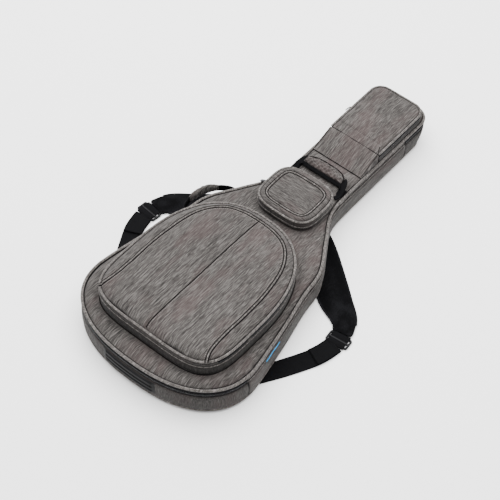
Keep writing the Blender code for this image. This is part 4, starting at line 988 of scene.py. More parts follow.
def build_large_pocket():
    right = through(RING, 8)
    ring = even(np.vstack((right, right[:-1][::-1] * (-1, 1))), 0.004)
    plateau = Outline(np.vstack(([(0.0, 0.0600)], right)), 0.005)
    outline = LARGE.inset(2 * POCKET_PIPING - 0.0004)
    middle = np.array([(0.0, 0.062), (0.0, 0.4485)])
    ring_height = 0.0600

    def top(p, d):
        to_ring = line_distance(p, ring)
        held_in = inside(plateau, p)
        share = np.clip(d / np.maximum(d + to_ring, 1e-6), 0, 1)
        slope = LARGE_RIM + (ring_height - LARGE_RIM) * (0.80 * share + 0.20 * np.sin(share * math.pi / 2)
                                                         + 0.14 * np.sin(math.pi * share))
        rise = ring_height + (LARGE_TOP - ring_height) * smooth_step(to_ring, -0.012, 0.085)
        flat = LARGE_RIM + (rise - LARGE_RIM) * ease(d, 0.036)
        height = np.where(held_in, flat, slope)
        height -= 0.0026 * ditch(to_ring, 0.0038)
        height -= 0.0022 * ditch(line_distance(p, middle), 0.0034)
        corner = np.exp(-((np.abs(p[:, 0]) - 0.155) / 0.03) ** 2 - ((p[:, 1] - 0.085) / 0.03) ** 2)
        tucks = corner * 0.0013 * np.sin((np.abs(p[:, 0]) * 0.8 + p[:, 1]) * 420.0)
        return height + (0.0009 * rumple(p, 21.0, 1.0) + tucks) * smooth_step(d, 0.002, 0.02)

    pad, where = quilt("large_pocket_pad", outline, top, lambda p, d: LARGE_RIM - 0.0058 * ease(d, 0.006),
                       lambda p: np.full(len(p), LARGE_RIM), 84, "large_pocket_lid", "panel", front,
                       ("large_pocket_panel",))
    to_ring = line_distance(where["plan"], ring)
    to_middle = line_distance(where["plan"], middle)
    held = np.where((where["depth"] < 0.004) | (to_ring < 0.0032) | (to_middle < 0.0026), 1.0, 0.0)
    held = np.where(where["upper"], held, np.maximum(held, 0.96))
    swell(pad, held, 0.0030, 3.5, 16, levels=1)
    skin = surface(pad)
    seam = even(ring[3:-3], 0.004)
    tube("large_pocket_ring_cord", lay(seam, skin, 0.0010), 0.0018, "large_pocket_lid", "piping", sides=8)
    # Dark tubes either side of the ring cord and down the centre seam: painted shade in the sewn creases
    outer = offset(seam, -0.0030)
    tube("large_pocket_ring_crease", lay(outer, skin, 0.0002), 0.0016, "large_pocket_lid", "thread", sides=6)
    tube("large_pocket_ring_inner_painted_shade", lay(offset(seam, 0.0032), skin, 0.0002), 0.0012,
         "large_pocket_lid", "thread", sides=6)
    spine = even(middle + ((0, 0.003), (0, -0.004)), 0.004)
    tube("large_pocket_centre_crease", lay(spine, skin, 0.0002), 0.0014, "large_pocket_lid", "thread",
         sides=6)
    stitches("large_pocket_centre_topstitch", lay(spine + (0.0042, 0.0), skin, 0.0002), "large_pocket_lid",
             "pale_thread")
    stitches("large_pocket_ring_topstitch", lay(offset(seam, 0.0066), skin, 0.0002), "large_pocket_lid",
             "pale_thread")
    piped("large_pocket_rim_cord", LARGE.inset(POCKET_PIPING), LARGE_RIM, POCKET_PIPING + 0.0002,
          "large_pocket_lid", "large_pocket_piping")
    base = LARGE.inset(WALL_INSET)
    # This wall takes the shade cloth: deep painted shade under the pocket's rim
    wall("large_pocket_side", base.run(0, base.total, 0.006)[:-1], level(-0.0004), level(0.0303), POCKET_WALL,
         0.0020, "lid", "shade", front, True, ("large_pocket_wall",), ripple=0.0006)
    line = LARGE.inset(0.0015)
    start, end = line.place(1, 0.105), line.total + line.place(-1, 0.105)
    wall("large_pocket_zip_tape", line.run(start, end, 0.005), level(0.0306), level(0.0386), TAPE_THICKNESS,
         0.0002, "lid", "tape", front, stands_for=("large_pocket_zip",), rows=4)
    teeth = LARGE.inset(0.0004).run(start, end, 0.004)
    coil("large_pocket_coil_lower", path_at(teeth, 0.0334), *COIL_SIZE, "lid")
    coil("large_pocket_coil_upper", path_at(teeth, 0.0360), *COIL_SIZE, "lid")
    fold = wall("large_pocket_fold", line.run(end - line.total + 0.0004, start - 0.0004, 0.005),
                level(0.0304), level(0.0392), TAPE_THICKNESS, 0.0014, None, "wall", front,
                stands_for=("large_pocket_hinge_strip",),
                rows=8)
    tuple(front((0, 0.06, 0.0310))[0])
    tuple(front((0, 0.06, 0.0386))[0])
    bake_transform(fold)
    hem = LARGE.inset(-0.0004)
    tube("large_pocket_side_cord", path_at(hem.run(0, hem.total, 0.005)[:-1], 0.0300), 0.0013, "lid",
         "piping", True, 8)
    # Dark tube round the pocket's foot: painted shadow where the wall meets the lid
    foot = LARGE.inset(-0.0006)
    tube("large_pocket_foot_crease", path_at(foot.run(0, foot.total, 0.005)[:-1], 0.0008), 0.0012, "lid",
         "thread", True, 6)
    for side, mark in ((1, LARGE.inset(0.0015).place(1, 0.193)), (-1, end)):
        end_tab(f"large_pocket_zip_end_{'right' if side > 0 else 'left'}", line, mark, 0.0346, "lid")


def offset(path, distance):
    """Plan path moved sideways, to the left of its direction."""
    path = np.asarray(path, float)
    t = headings(path)
    return path + np.column_stack((-t[:, 1], t[:, 0])) * distance


def end_tab(name, line, mark, height, body):
    """Small woven tab that covers a zip's end."""
    plan = line.run(mark - 0.006, mark + 0.006, 0.002)
    out = rightwards(headings(plan))
    strip(name, path_at(plan + out * 0.0022, height), tuple(FRONT_NORMAL), 0.011, 0.0014, body, "wall")


def build_small_pocket():
    outline = SMALL.inset(2 * POCKET_PIPING - 0.0004)
    welt = SMALL.inset(0.0202)

    def top(p, d):
        to_welt = welt.distance(p)
        held_in = inside(welt, p)
        border = SMALL_RIM + (0.0345 - SMALL_RIM) * ease(d, 0.010)
        border += 0.0012 * np.sin(math.pi * np.clip(d / 0.0146, 0, 1))
        face = 0.0340 + (SMALL_TOP - 0.0340) * smooth_step(to_welt, -0.004, 0.040)
        height = np.where(held_in, face, border) - 0.0020 * ditch(to_welt, 0.0032)
        pucker = 0.0006 * np.sin(np.arctan2(p[:, 1] - 0.584, p[:, 0]) * 46.0) * ditch(to_welt - 0.007, 0.006)
        return height + (pucker + 0.0006 * rumple(p, 40.0, 3.0)) * smooth_step(d, 0.002, 0.012)

    pad, where = quilt("small_pocket_pad", outline, top, lambda p, d: SMALL_RIM - 0.0036 * ease(d, 0.006),
                       lambda p: np.full(len(p), SMALL_RIM), 54, "small_pocket_lid", "across", front,
                       ("small_pocket_panel",))
    to_welt = welt.distance(where["plan"])
    held = np.where((where["depth"] < 0.003) | (to_welt < 0.0026), 1.0, 0.0)
    held = np.where(where["upper"], held, np.maximum(held, 0.96))
    swell(pad, held, 0.0018, 4.0, 16, levels=1)
    skin = surface(pad)
    tube("small_pocket_welt_cord", lay(welt.run(0, welt.total, 0.003)[:-1], skin, 0.0012), 0.0019,
         "small_pocket_lid", "piping", True, 8, ("small_pocket_welt",))
    # Dark tubes either side of the welt cord: painted shade in its creases
    for label, shift in (("outer", -0.0030), ("inner", 0.0030)):
        line = welt.inset(shift)
        tube("small_pocket_welt_crease_" + label, lay(line.run(0, line.total, 0.003)[:-1], skin, 0.0002),
             0.0013, "small_pocket_lid", "thread", True, 6)
    piped("small_pocket_rim_cord", SMALL.inset(POCKET_PIPING), SMALL_RIM, POCKET_PIPING, "small_pocket_lid",
          "small_pocket_piping")
    base = SMALL.inset(WALL_INSET)
    ring = base.run(0, base.total, 0.004)[:-1]
    wall("small_pocket_foot", ring, level(-0.0004), level(0.0068), POCKET_WALL, 0.0008, "lid", "wall", front,
         True, ("small_pocket_base",), rows=6)
    wall("small_pocket_skirt", ring, level(0.0135), level(0.0262), POCKET_WALL, 0.0012, "small_pocket_lid",
         "wall", front, True, ("small_pocket_cap_wall",), rows=8, ripple=0.0005)
    line = SMALL.inset(0.0015)
    wall("small_pocket_zip_tape", line.run(0, line.total, 0.004)[:-1], level(0.0070), level(0.0132),
         TAPE_THICKNESS, 0.0001, "lid", "tape", front, True, ("small_pocket_zip",), rows=4)
    teeth = SMALL.inset(0.0006)
    ring = teeth.run(0, teeth.total, 0.004)[:-1]
    coil("small_pocket_coil_lower", path_at(ring, 0.0090), *SMALL_COIL_SIZE, "lid", closed=True)
    coil("small_pocket_coil_upper", path_at(ring, 0.0112), *SMALL_COIL_SIZE, "lid", closed=True)
    hem = SMALL.inset(-0.0002)
    tube("small_pocket_hem_cord", path_at(hem.run(0, hem.total, 0.004)[:-1], 0.0140), 0.0012,
         "small_pocket_lid", "piping", True, 8)


def build_head_pocket():
    edge = 2 * POCKET_PIPING - 0.0006
    outline = Outline([(0.0, HEAD_SEAM + 0.0004), (HEAD_HALF - edge, HEAD_SEAM + 0.0004)]
                      + rounded_end(HEAD_HALF - edge, HEAD_END - edge, HEAD_CORNER - edge, 10), 0.0032)
    fold = HEAD_SEAM + 0.029

    def top(p, d):
        height = HEAD_RIM + (0.0294 - HEAD_RIM) * ease(d, 0.009) + (HEAD_TOP - 0.0294) * smooth_step(d, 0.004,
                                                                                                     0.055)
        height -= 0.0012 * ditch(p[:, 1] - fold, 0.0030)
        return height + 0.0007 * rumple(p, 30.0, 5.0) * smooth_step(d, 0.002, 0.015)

    pad, where = quilt("head_pocket_pad", outline, top, lambda p, d: HEAD_RIM - 0.0056 * ease(d, 0.006),
                       lambda p: np.full(len(p), HEAD_RIM), 50, "head_pocket_lid", "panel", front,
                       ("head_pocket_panel",))
    held = np.where((where["depth"] < 0.003) | (np.abs(where["plan"][:, 1] - fold) < 0.0022), 1.0, 0.0)
    held = np.where(where["upper"], held, np.maximum(held, 0.96))
    swell(pad, held, 0.0022, 3.5, 16, levels=1)
    skin = surface(pad)
    rim = HEAD.inset(POCKET_PIPING)
    first = rim.place(1, HEAD_SEAM + 0.0035)
    arc = rim.run(first, rim.total - first, 0.004)
    tube("head_pocket_rim_cord", path_at(arc, HEAD_RIM), POCKET_PIPING, "head_pocket_lid", "piping", sides=12,
         stands_for=("head_pocket_piping",))
    # Dark tube inside the rim: painted shade in the crease
    inner = HEAD.inset(2 * POCKET_PIPING + 0.0006).run(first, rim.total - first - 0.01, 0.004)
    tube("head_pocket_rim_crease", lay(inner, skin, 0.0001), 0.0009, "head_pocket_lid", "thread", sides=6)
    across = np.column_stack((np.linspace(-0.0655, 0.0655, 34), np.full(34, fold)))
    stitches("head_pocket_fold_stitch", lay(across, skin, 0.0002), "head_pocket_lid")
    # Dark tube along the seam: painted shade in the crease
    across = np.column_stack((np.linspace(-0.0660, 0.0660, 34), np.full(34, HEAD_SEAM + 0.0012)))
    tube("head_pocket_seam_crease", lay(across, skin, 0.0002), 0.0011, "head_pocket_lid", "thread", sides=6)
    base = HEAD.inset(WALL_INSET)
    first = base.place(1, HEAD_SEAM + 0.004)
    # The shade cloth on this wall is painted shade under the lid's edge
    wall("head_pocket_side", base.run(first, base.total - first, 0.005), level(-0.0004), level(0.0138),
         POCKET_WALL, 0.0010, "lid", "shade", front, stands_for=("head_pocket_wall",), rows=6, ripple=0.0004)
    line = HEAD.inset(0.0015)
    wall("head_pocket_zip_tape", line.run(first, line.total - first, 0.004), level(0.0140), level(0.0236),
         TAPE_THICKNESS, 0.0003, "lid", "tape", front, stands_for=("head_pocket_zip",), rows=5)
    teeth = HEAD.inset(0.0004).run(first, line.total - first, 0.004)
    coil("head_pocket_coil_lower", path_at(teeth, 0.0160), *SMALL_COIL_SIZE, "lid")
    coil("head_pocket_coil_upper", path_at(teeth, 0.0182), *SMALL_COIL_SIZE, "lid")
    build_ramp()


def build_ramp():
    half, steps = 0.0735, 22
    rings = []
    for share in np.linspace(0, 1, 26):
        s = RAMP_FOOT + (HEAD_SEAM - 0.0002 - RAMP_FOOT) * share
        h = 0.0022 + (0.0290 - 0.0022) * (share ** 1.08) + 0.0014 * math.sin(math.pi * share)
        outer = [(-half, s, -0.0004)]
        for u in np.linspace(-1, 1, steps):
            lip = 1 - abs(u) ** 9
            outer.append((half * u, s,
                          max(0.0, h * (0.88 + 0.12 * lip)) + 0.0010 * lip * math.cos(u * 9.0 + share * 3)))
        outer.append((half, s, -0.0004))
        inner_half = half - 0.0026
        inner = [(inner_half, s, -0.0002)]
        for u in np.linspace(1, -1, 9):
            inner.append((inner_half * u, s, max(0.0002, h * 0.88 - 0.0030)))
        inner.append((-inner_half, s, -0.0002))
        rings.append(front(outer + inner))
    ramp_pad = loft("head_pocket_ramp_pad", rings, "lid", "panel", stands_for=("head_pocket_ramp",), sharp=50)
    skin = surface(ramp_pad)
    # Dark tubes at the ramp's foot and edges: painted shade in its seams
    foot = np.column_stack((np.linspace(-half, half, 30), np.full(30, RAMP_FOOT - 0.0006)))
    tube("ramp_foot_crease", path_at(foot, 0.0012), 0.0011, "lid", "thread", sides=6)
    for side in (-1, 1):
        edge = np.column_stack((np.full(24, side * (half - 0.0028)),
                                np.linspace(RAMP_FOOT + 0.003, HEAD_SEAM - 0.003, 24)))
        tube(f"ramp_edge_crease_{'right' if side > 0 else 'left'}", lay(edge, skin, 0.0001), 0.0008, "lid",
             "thread", sides=6)


# ================================================================= handles
def bow(start, end, reach, outward, first, last, steps):
    """Arched plan path of a handle, over a stretch of the span between its roots."""
    shares = np.linspace(first, last, steps + 1)
    bulge = np.sin(np.pi * np.clip(shares, 0, 1)) ** 0.55 * reach
    return start + np.outer(shares, end - start) + np.outer(bulge, outward)


def sleeve(name, path, half_thick, half_high, height, body, place, node, seed):
    """Padded fabric sleeve gathered along a handle, with creases where it bends."""
    path = even(path, 0.0022)
    rings = []
    for i, (p, n) in enumerate(zip(path, rightwards(headings(path)))):
        share = i / (len(path) - 1)
        close = math.sin(math.pi * min(max(share, 0.02), 0.98)) ** 0.22
        ring = []
        for k in range(28):
            a = 2 * math.pi * k / 28
            crease = 1 + 0.10 * math.sin(share * 41.0 + 2.2 * math.sin(a + seed)) * math.sin(a * 2 + share * 9
                                                                                             + seed)
            crease += 0.06 * math.sin(share * 83.0 + a * 3)
            u = half_thick * squared(math.cos(a), 0.75) * crease * close
            v = half_high * squared(math.sin(a), 0.75) * (0.94 + 0.06 * crease) * close
            ring.append((p[0] + n[0] * u, p[1] + n[1] * u, height + v))
        rings.append(place(ring))
    obj = loft(name, rings, body, "panel", stands_for=(node,))
    ends = np.zeros(len(obj.data.vertices))
    ends[: 28 * 2] = ends[-28 * 2:] = 1.0
    swell(obj, ends, 0.0016, 3.0, 12, shrink=-0.05)


def build_front_handle():
    station = 0.677
    start, end = np.array((-0.060, station)), np.array((0.060, station))
    outward = np.array((0.0, 1.0))
    path = bow(start, end, 0.029, outward, 0.0, 1.0, 44)
    strip("front_handle_strap", path_at(path + (0, -0.0015), 0.0120), tuple(FRONT_NORMAL), 0.0100, 0.0024,
          "front_handle", "webbing", stands_for=("front_handle_webbing",))
    rings = []
    for u in np.linspace(-1, 1, 74):
        x = 0.0560 * u - 0.0020
        back = 0.6915 + 0.0235 * (1 - abs(u) ** 3.2) ** 0.55
        near = 0.6890 - 0.0015 * (1 - u * u)
        pinch = (1 - abs(u) ** 14) ** 0.5
        ring = []
        for k in range(30):
            a = 2 * math.pi * k / 30
            c, sn = math.cos(a), math.sin(a)
            across = squared(c, 0.80)
            fold = math.sin(u * 15.0 + 3.0 * across) + 0.7 * math.sin(u * 31.0 - 4.0 * across + 1.3)
            fold += 0.5 * math.sin(u * 52.0 + 6.0 * across)
            high = 0.0068 * squared(sn, 0.8) * pinch
            high += 0.0026 * fold * max(sn, 0.0) * pinch
            ring.append((x, (near + back) / 2 + (back - near) / 2 * across * (1 + 0.02 * fold),
                         0.0178 + high))
        rings.append(front(ring))
    grip = loft("front_handle_sleeve", rings, "front_handle", "across", stands_for=("front_handle_grip",))
    held = np.zeros(len(grip.data.vertices))
    held[:60] = held[-60:] = 1.0
    swell(grip, held, 0.0012, 2.5, 10, shrink=-0.04)
    # Dark tube along the sleeve's back edge: painted shadow where the sleeve meets the lid
    hem = [(0.0580 * u - 0.0020, 0.6930 + 0.0250 * (1 - abs(u) ** 3.2) ** 0.55)
           for u in np.linspace(-0.99, 0.99, 60)]
    tube("front_handle_painted_shadow_line", path_at(hem, 0.0195), 0.0017, "front_handle", "thread", sides=6)
    band = [(0.0580 * u - 0.0020, 0.6850 - 0.0010 * (1 - u * u)) for u in np.linspace(-1, 1, 44)]
    strip("front_handle_band", path_at(band, 0.0140), (0, 1.0, 0.75), 0.0090, 0.0026, "front_handle",
          "webbing")
    base = path_at([(x, station + 0.001) for x in np.linspace(-0.074, 0.074, 40)], 0.0018)
    strip("front_handle_anchor", base, (0, 1, 0), 0.025, 0.0022, "lid", "webbing",
          stands_for=("front_handle_base",))
    for side in (-1, 1):
        name = "right" if side > 0 else "left"
        leg = through([(side * 0.0520, 0.7010, 0.0185), (side * 0.0590, 0.6950, 0.0170),
                       (side * 0.0645, 0.6800, 0.0120),
                       (side * 0.0662, 0.6640, 0.0045), (side * 0.0620, 0.6535, 0.0022)], 8)
        flow = headings(leg[:, :2])
        over = np.column_stack((flow[:, 1], -flow[:, 0],
                                np.full(len(flow), -0.25) * side * np.sign(-flow[:, 1])))
        strip("front_handle_leg_" + name, front(leg), over, 0.0165, 0.0022, "lid", "webbing")
        box_x = [(side * 0.054, 0.670), (side * 0.072, 0.670), (side * 0.072, 0.686), (side * 0.054, 0.686)]
        stitches("front_handle_boxstitch_" + name, path_at(even(np.array(box_x), 0.002, True), 0.0058), "lid",
                 "thread", closed=True)


def build_side_handle():
    line = BAG.inset(WALL_INSET)
    low = line.at(line.place(-1, SIDE_HANDLE_LOW))
    high = line.at(line.place(-1, SIDE_HANDLE_HIGH))
    along = (high - low) / np.linalg.norm(high - low)
    outward = np.array((-along[1], along[0]))
    clear = outward * (0.0022 + 0.0003 + 0.0095)
    start, end = low + clear, high + clear
    height = 0.044
    path = bow(start, end, 0.040, outward, 0.0, 1.0, 44)
    strip("side_handle_strap", path_at(path, height, bag), (0, 0, 1), 0.020, 0.0026, "side_handle", "webbing",
          stands_for=("side_handle_webbing",))
    share = 0.5 * 0.040 / (np.linalg.norm(end - start) / 2)
    grip = bow(start, end, 0.0402, outward, 0.5 - share, 0.5 + share, 40)
    sleeve("side_handle_sleeve", grip[::-1], 0.0060, 0.0130, height + 0.0012, "side_handle", bag,
           "side_handle_grip", 1.7)
    outer = BAG.inset(WALL_INSET - 0.0014)
    first = outer.total + outer.place(-1, SIDE_HANDLE_HIGH) - 0.014
    last = outer.total + outer.place(-1, SIDE_HANDLE_LOW) + 0.014
    strip("side_handle_anchor", path_at(outer.run(first, last, 0.004), height, bag), (0, 0, 1), 0.025, 0.0022,
          "root", "webbing", stands_for=("side_handle_base",))
    for name, mark in (("upper", first + 0.010), ("lower", last - 0.010)):
        plan = BAG.inset(WALL_INSET - 0.0030).run(mark - 0.006, mark + 0.006, 0.003)
        up = [(p[0], p[1], height + 0.009) for p in plan]
        down = [(p[0], p[1], height - 0.009) for p in plan[::-1]]
        stitches("side_handle_boxstitch_" + name, even(bag(up + down), 0.002, True), "root", "pale_thread",
                 closed=True)


# ================================================================= straps
PAD_PATH = ((0.046, 0.600), (0.098, 0.562), (0.160, 0.512), (0.215, 0.470), (0.262, 0.440), (0.286, 0.405))
PAD_HALF = (0.032, 0.038, 0.040, 0.038, 0.030, 0.024)
FLOOR = -STRAP_LAYER


def build_strap(side, name):
    lock = np.array((side * 0.10, -0.995))
    lock /= np.linalg.norm(lock)
    knots = [(side * x, s, w) for (x, s), w in zip(PAD_PATH, PAD_HALF)]
    fine = through(knots, 9)
    plan, half = fine[:, :2], fine[:, 2]
    t = np.gradient(plan, axis=0)
    t[-1] = lock
    t /= np.linalg.norm(t, axis=1)[:, None]
    right = np.column_stack((t[:, 1], -t[:, 0]))
    free = BAG.inset(-0.010)
    rings, edges = [], {1: [], -1: []}
    turn = np.linspace(0, 2 * math.pi, 26, endpoint=False)
    for i, (p, r, w) in enumerate(zip(plan, right, half)):
        reach = abs(free.at(free.place(1, p[1]))[0])
        share = min(max((abs(p[0]) - reach) / 0.080 - 0.45, 0.0), 1.0)
        top = -0.0004 + share * 0.0058
        low = FLOOR + 0.0002
        middle, high = (top + low) / 2, (top - low) / 2
        fade = min(1.0, 0.25 + 0.75 * math.sin(math.pi * min(i / 10, 0.5))) if i < 5 else 1.0
        tail = 1.0 if i < len(plan) - 4 else 0.55 + 0.15 * (len(plan) - 1 - i)
        ring = []
        for a in turn:
            c, sn = math.cos(a), math.sin(a)
            u = squared(c, 0.55) * w * 0.985
            v = squared(sn, 0.85) * high * fade * tail
            v *= 1 - 0.35 * math.exp(-((abs(u) - w * 0.62) / 0.0035) ** 2)
            ring.append((p[0] + r[0] * u, p[1] + r[1] * u, middle + v))
        rings.append(bag(ring))
        for k in (1, -1):
            edges[k].append((p[0] + r[0] * w * k * 0.985, p[1] + r[1] * w * k * 0.985, middle))
    pad = loft("shoulder_pad_" + name, rings, "root", "mesh", stands_for=("strap_pad_" + name,))
    count = len(pad.data.vertices)
    ring_index = np.arange(count) % 26
    held = np.where((ring_index % 13 <= 1) | (ring_index % 13 >= 12), 1.0, 0.55)
    swell(pad, held, 0.0012, 2.0, 12)
    for k, label in ((1, "a"), (-1, "b")):
        tube(f"shoulder_binding_{name}_{label}", bag(edges[k][:-6]), 0.0021, "root", "binding", sides=8,
             squash=1.1)
    end = plan[-1]
    start = end + lock * 0.0026
    lock_end = start + lock * 0.030
    build_lock(name, start, lock)
    for label, v0, v1 in (("inner", -0.004, 0.0165), ("outer", 0.0165, 0.034)):
        route = np.array([(*(start + lock * (v0 + (v1 - v0) * k / 8)),
                           FLOOR + 0.0034 + 0.0030 * math.sin(math.pi * k / 8))
                          for k in range(9)])
        strip(f"strap_{label}_fold_{name}", bag(route), (lock[1], -lock[0], 0), 0.0440, 0.0016, "root",
              "webbing")
    first = lock_end + lock * 0.0012
    route = [(*first, FLOOR + 0.0040), (side * 0.2790, 0.326, FLOOR + 0.0034),
             (side * 0.2590, 0.284, FLOOR + 0.0022),
             (side * 0.2360, 0.243, FLOOR + 0.0014), (side * 0.2060, 0.195, FLOOR + 0.0014)]
    path = through(route, 12)
    across = np.column_stack((rightwards(headings(path[:, :2])), np.zeros(len(path))))
    strip("strap_run_" + name, bag(path), across, 0.047, 0.0022, "root", "webbing",
          stands_for=("strap_webbing_" + name,), wave=0.0003)
    tail = path[2:17] + (0, 0, 0.0034)
    tail[:, 2] += np.linspace(-0.0006, 0.0012, len(tail))
    strip("strap_tail_" + name, bag(tail), across[2:17], 0.0455, 0.0020, "root", "webbing")
    outer = BAG.inset(2 * PIPING)
    corners = [outer.at(outer.place(1, 0.172 + 0.090 * i / 8)) for i in range(9)]
    tab = np.array([(0.150, 0.242), (0.150, 0.192), *corners]) * (side, 1)
    centre = tab.mean(axis=0)
    rings = []
    for grow, height in ((0.985, FLOOR + 0.0030), (1.0, FLOOR + 0.0036), (1.0, -0.0010), (0.985, -0.0004)):
        ring = centre + (tab - centre) * grow
        rings.append(bag(np.column_stack((ring, np.full(len(ring), height)))))
    loft("strap_anchor_" + name, rings, "root", "webbing", stands_for=("strap_tab_" + name,), sharp=40)
    inner = centre + (tab - centre) * 0.90
    stitches("strap_anchor_stitch_" + name,
             bag(np.column_stack((inner, np.full(len(inner), FLOOR + 0.0028)))), "root",
             "pale_thread", closed=True)


def build_lock(name, start, along):
    """Ladder lock: rails, end bars and a toothed middle bar, in one moulded frame."""
    across = np.array((along[1], -along[0]))
    level_z = FLOOR + 0.0055 / 2
    half, length, bar = 0.029, 0.030, 0.005
    body = "strap_lock_" + name

    def at(u, v, z=0.0):
        q = start + across * u + along * v
        return (q[0], q[1], level_z + z)

    def moulding(label, points, wide, thick, closed=False, stands_for=()):
        path = bag(points)
        side = np.cross(directions(path, closed), (0, 0, 1.0))
        turn = np.linspace(0, 2 * math.pi, 14, endpoint=False)
        rings = [[p + s * wide / 2 * squared(math.cos(a), 0.6)
                  + np.array((0, 0, 1.0)) * thick / 2 * squared(math.sin(a), 0.6) for a in turn]
                 for p, s in zip(path, side)]
        loft(f"lock_{label}_{name}", rings, body, "plastic", closed, stands_for)

    edge = half - bar / 2
    corner = 0.003
    frame_path = []
    for cu, cv, a0 in ((edge - corner, bar / 2 + corner, -90), (edge - corner, length - bar / 2 - corner, 0),
                       (-edge + corner, length - bar / 2 - corner, 90),
                       (-edge + corner, bar / 2 + corner, 180)):
        for a in np.linspace(a0, a0 + 90, 6):
            frame_path.append(at(cu + corner * math.cos(math.radians(a)),
                                 cv + corner * math.sin(math.radians(a))))
    moulding("frame", frame_path, bar, 0.0054, True, ("strap_lock_" + name,))
    across_bar = np.linspace(-edge, edge, 40)
    moulding("bar", [at(u, length / 2, 0.0004 * math.sin(u * 2200.0)) for u in across_bar], bar, 0.0050)


def build_yoke():
    swell_solid("yoke_pad", "strap_yoke", 0.0022, 0.0010, "root", "mesh", start=0.0007, pressure=2.0)


# ================================================================= fittings
def build_bumper():
    line = BAG.inset(WALL_INSET)
    path = line.run(-0.075, 0.075, 0.003)
    t = directions(np.column_stack((path, np.zeros(len(path)))))[:, :2]
    low, high = 0.016, 0.054
    top = under_front(WALL_TOP)
    rings = []
    for i, (p, n) in enumerate(zip(path, rightwards(t))):
        ends = min(i, len(path) - 1 - i)
        frame_in = 1.0 if ends >= 2 else 0.4 + 0.3 * ends
        ring = []
        for z in np.linspace(low, high, 40):
            share = (z - WALL_LOW) / (top(p) - WALL_LOW)
            gusset = 0.0024 * math.sin(math.pi * share) ** 0.7 - 0.0006
            phase = (z - low) / (high - low) * 3.0
            rib = 0.5 - 0.5 * math.cos(2 * math.pi * phase)
            lift = 0.0011 + 0.0022 * smooth_step(np.array(rib), 0.35, 0.65) * (1.0 if ends >= 3 else 0.0)
            border = min(z - low, high - z)
            lift = lift * (0.55 + 0.45 * min(1.0, border / 0.0012)) * frame_in
            q = p + n * (gusset + float(lift))
            ring.append((q[0], q[1], z))
        for z in (high, low):
            share = (z - WALL_LOW) / (top(p) - WALL_LOW)
            q = p + n * (0.0024 * math.sin(math.pi * share) ** 0.7 - 0.0010)
            ring.append((q[0], q[1], z))
        rings.append(bag(ring))
    loft("bumper_plate", rings, "root", "rubber", stands_for=("bottom_bumper",), sharp=45)


def build_tag():
    line = BAG.inset(WALL_INSET - 0.0016)
    path = line.run(line.place(1, 0.205), line.place(1, 0.262), 0.003)
    rows = []
    for i, p in enumerate(path):
        rows.append((p[0] + 0.0012 * math.sin(i * 0.5) * 0.3, p[1], under_front(TAPE_SPLIT - 0.0042)(p)))
    strip("side_label", bag(rows), (0.28, 0.0, 1.0), 0.0084, 0.0010, "root", "label",
          stands_for=("side_tag",))


def build_inner():
    swell_solid("cradle_pad", "neck_cradle", 0.0038, 0.0016, "root", "foam", start=0.0014, pressure=3.0)
    swell_solid("end_cushion", "end_pad", 0.0034, 0.0016, "root", "foam", start=0.0014, pressure=3.0)


def axes_of(node):
    """Centre, axes from longest to shortest, and half sizes of a CAD block."""
    co = np.array([v.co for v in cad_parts[node].data.vertices])
    values, vectors = np.linalg.eigh(np.cov((co - co.mean(axis=0)).T))
    order = np.argsort(values)[::-1]
    axes = vectors[:, order].T
    spans = (co @ axes.T)
    low, high = spans.min(axis=0), spans.max(axis=0)
    return ((low + high) / 2) @ axes, axes, (high - low) / 2


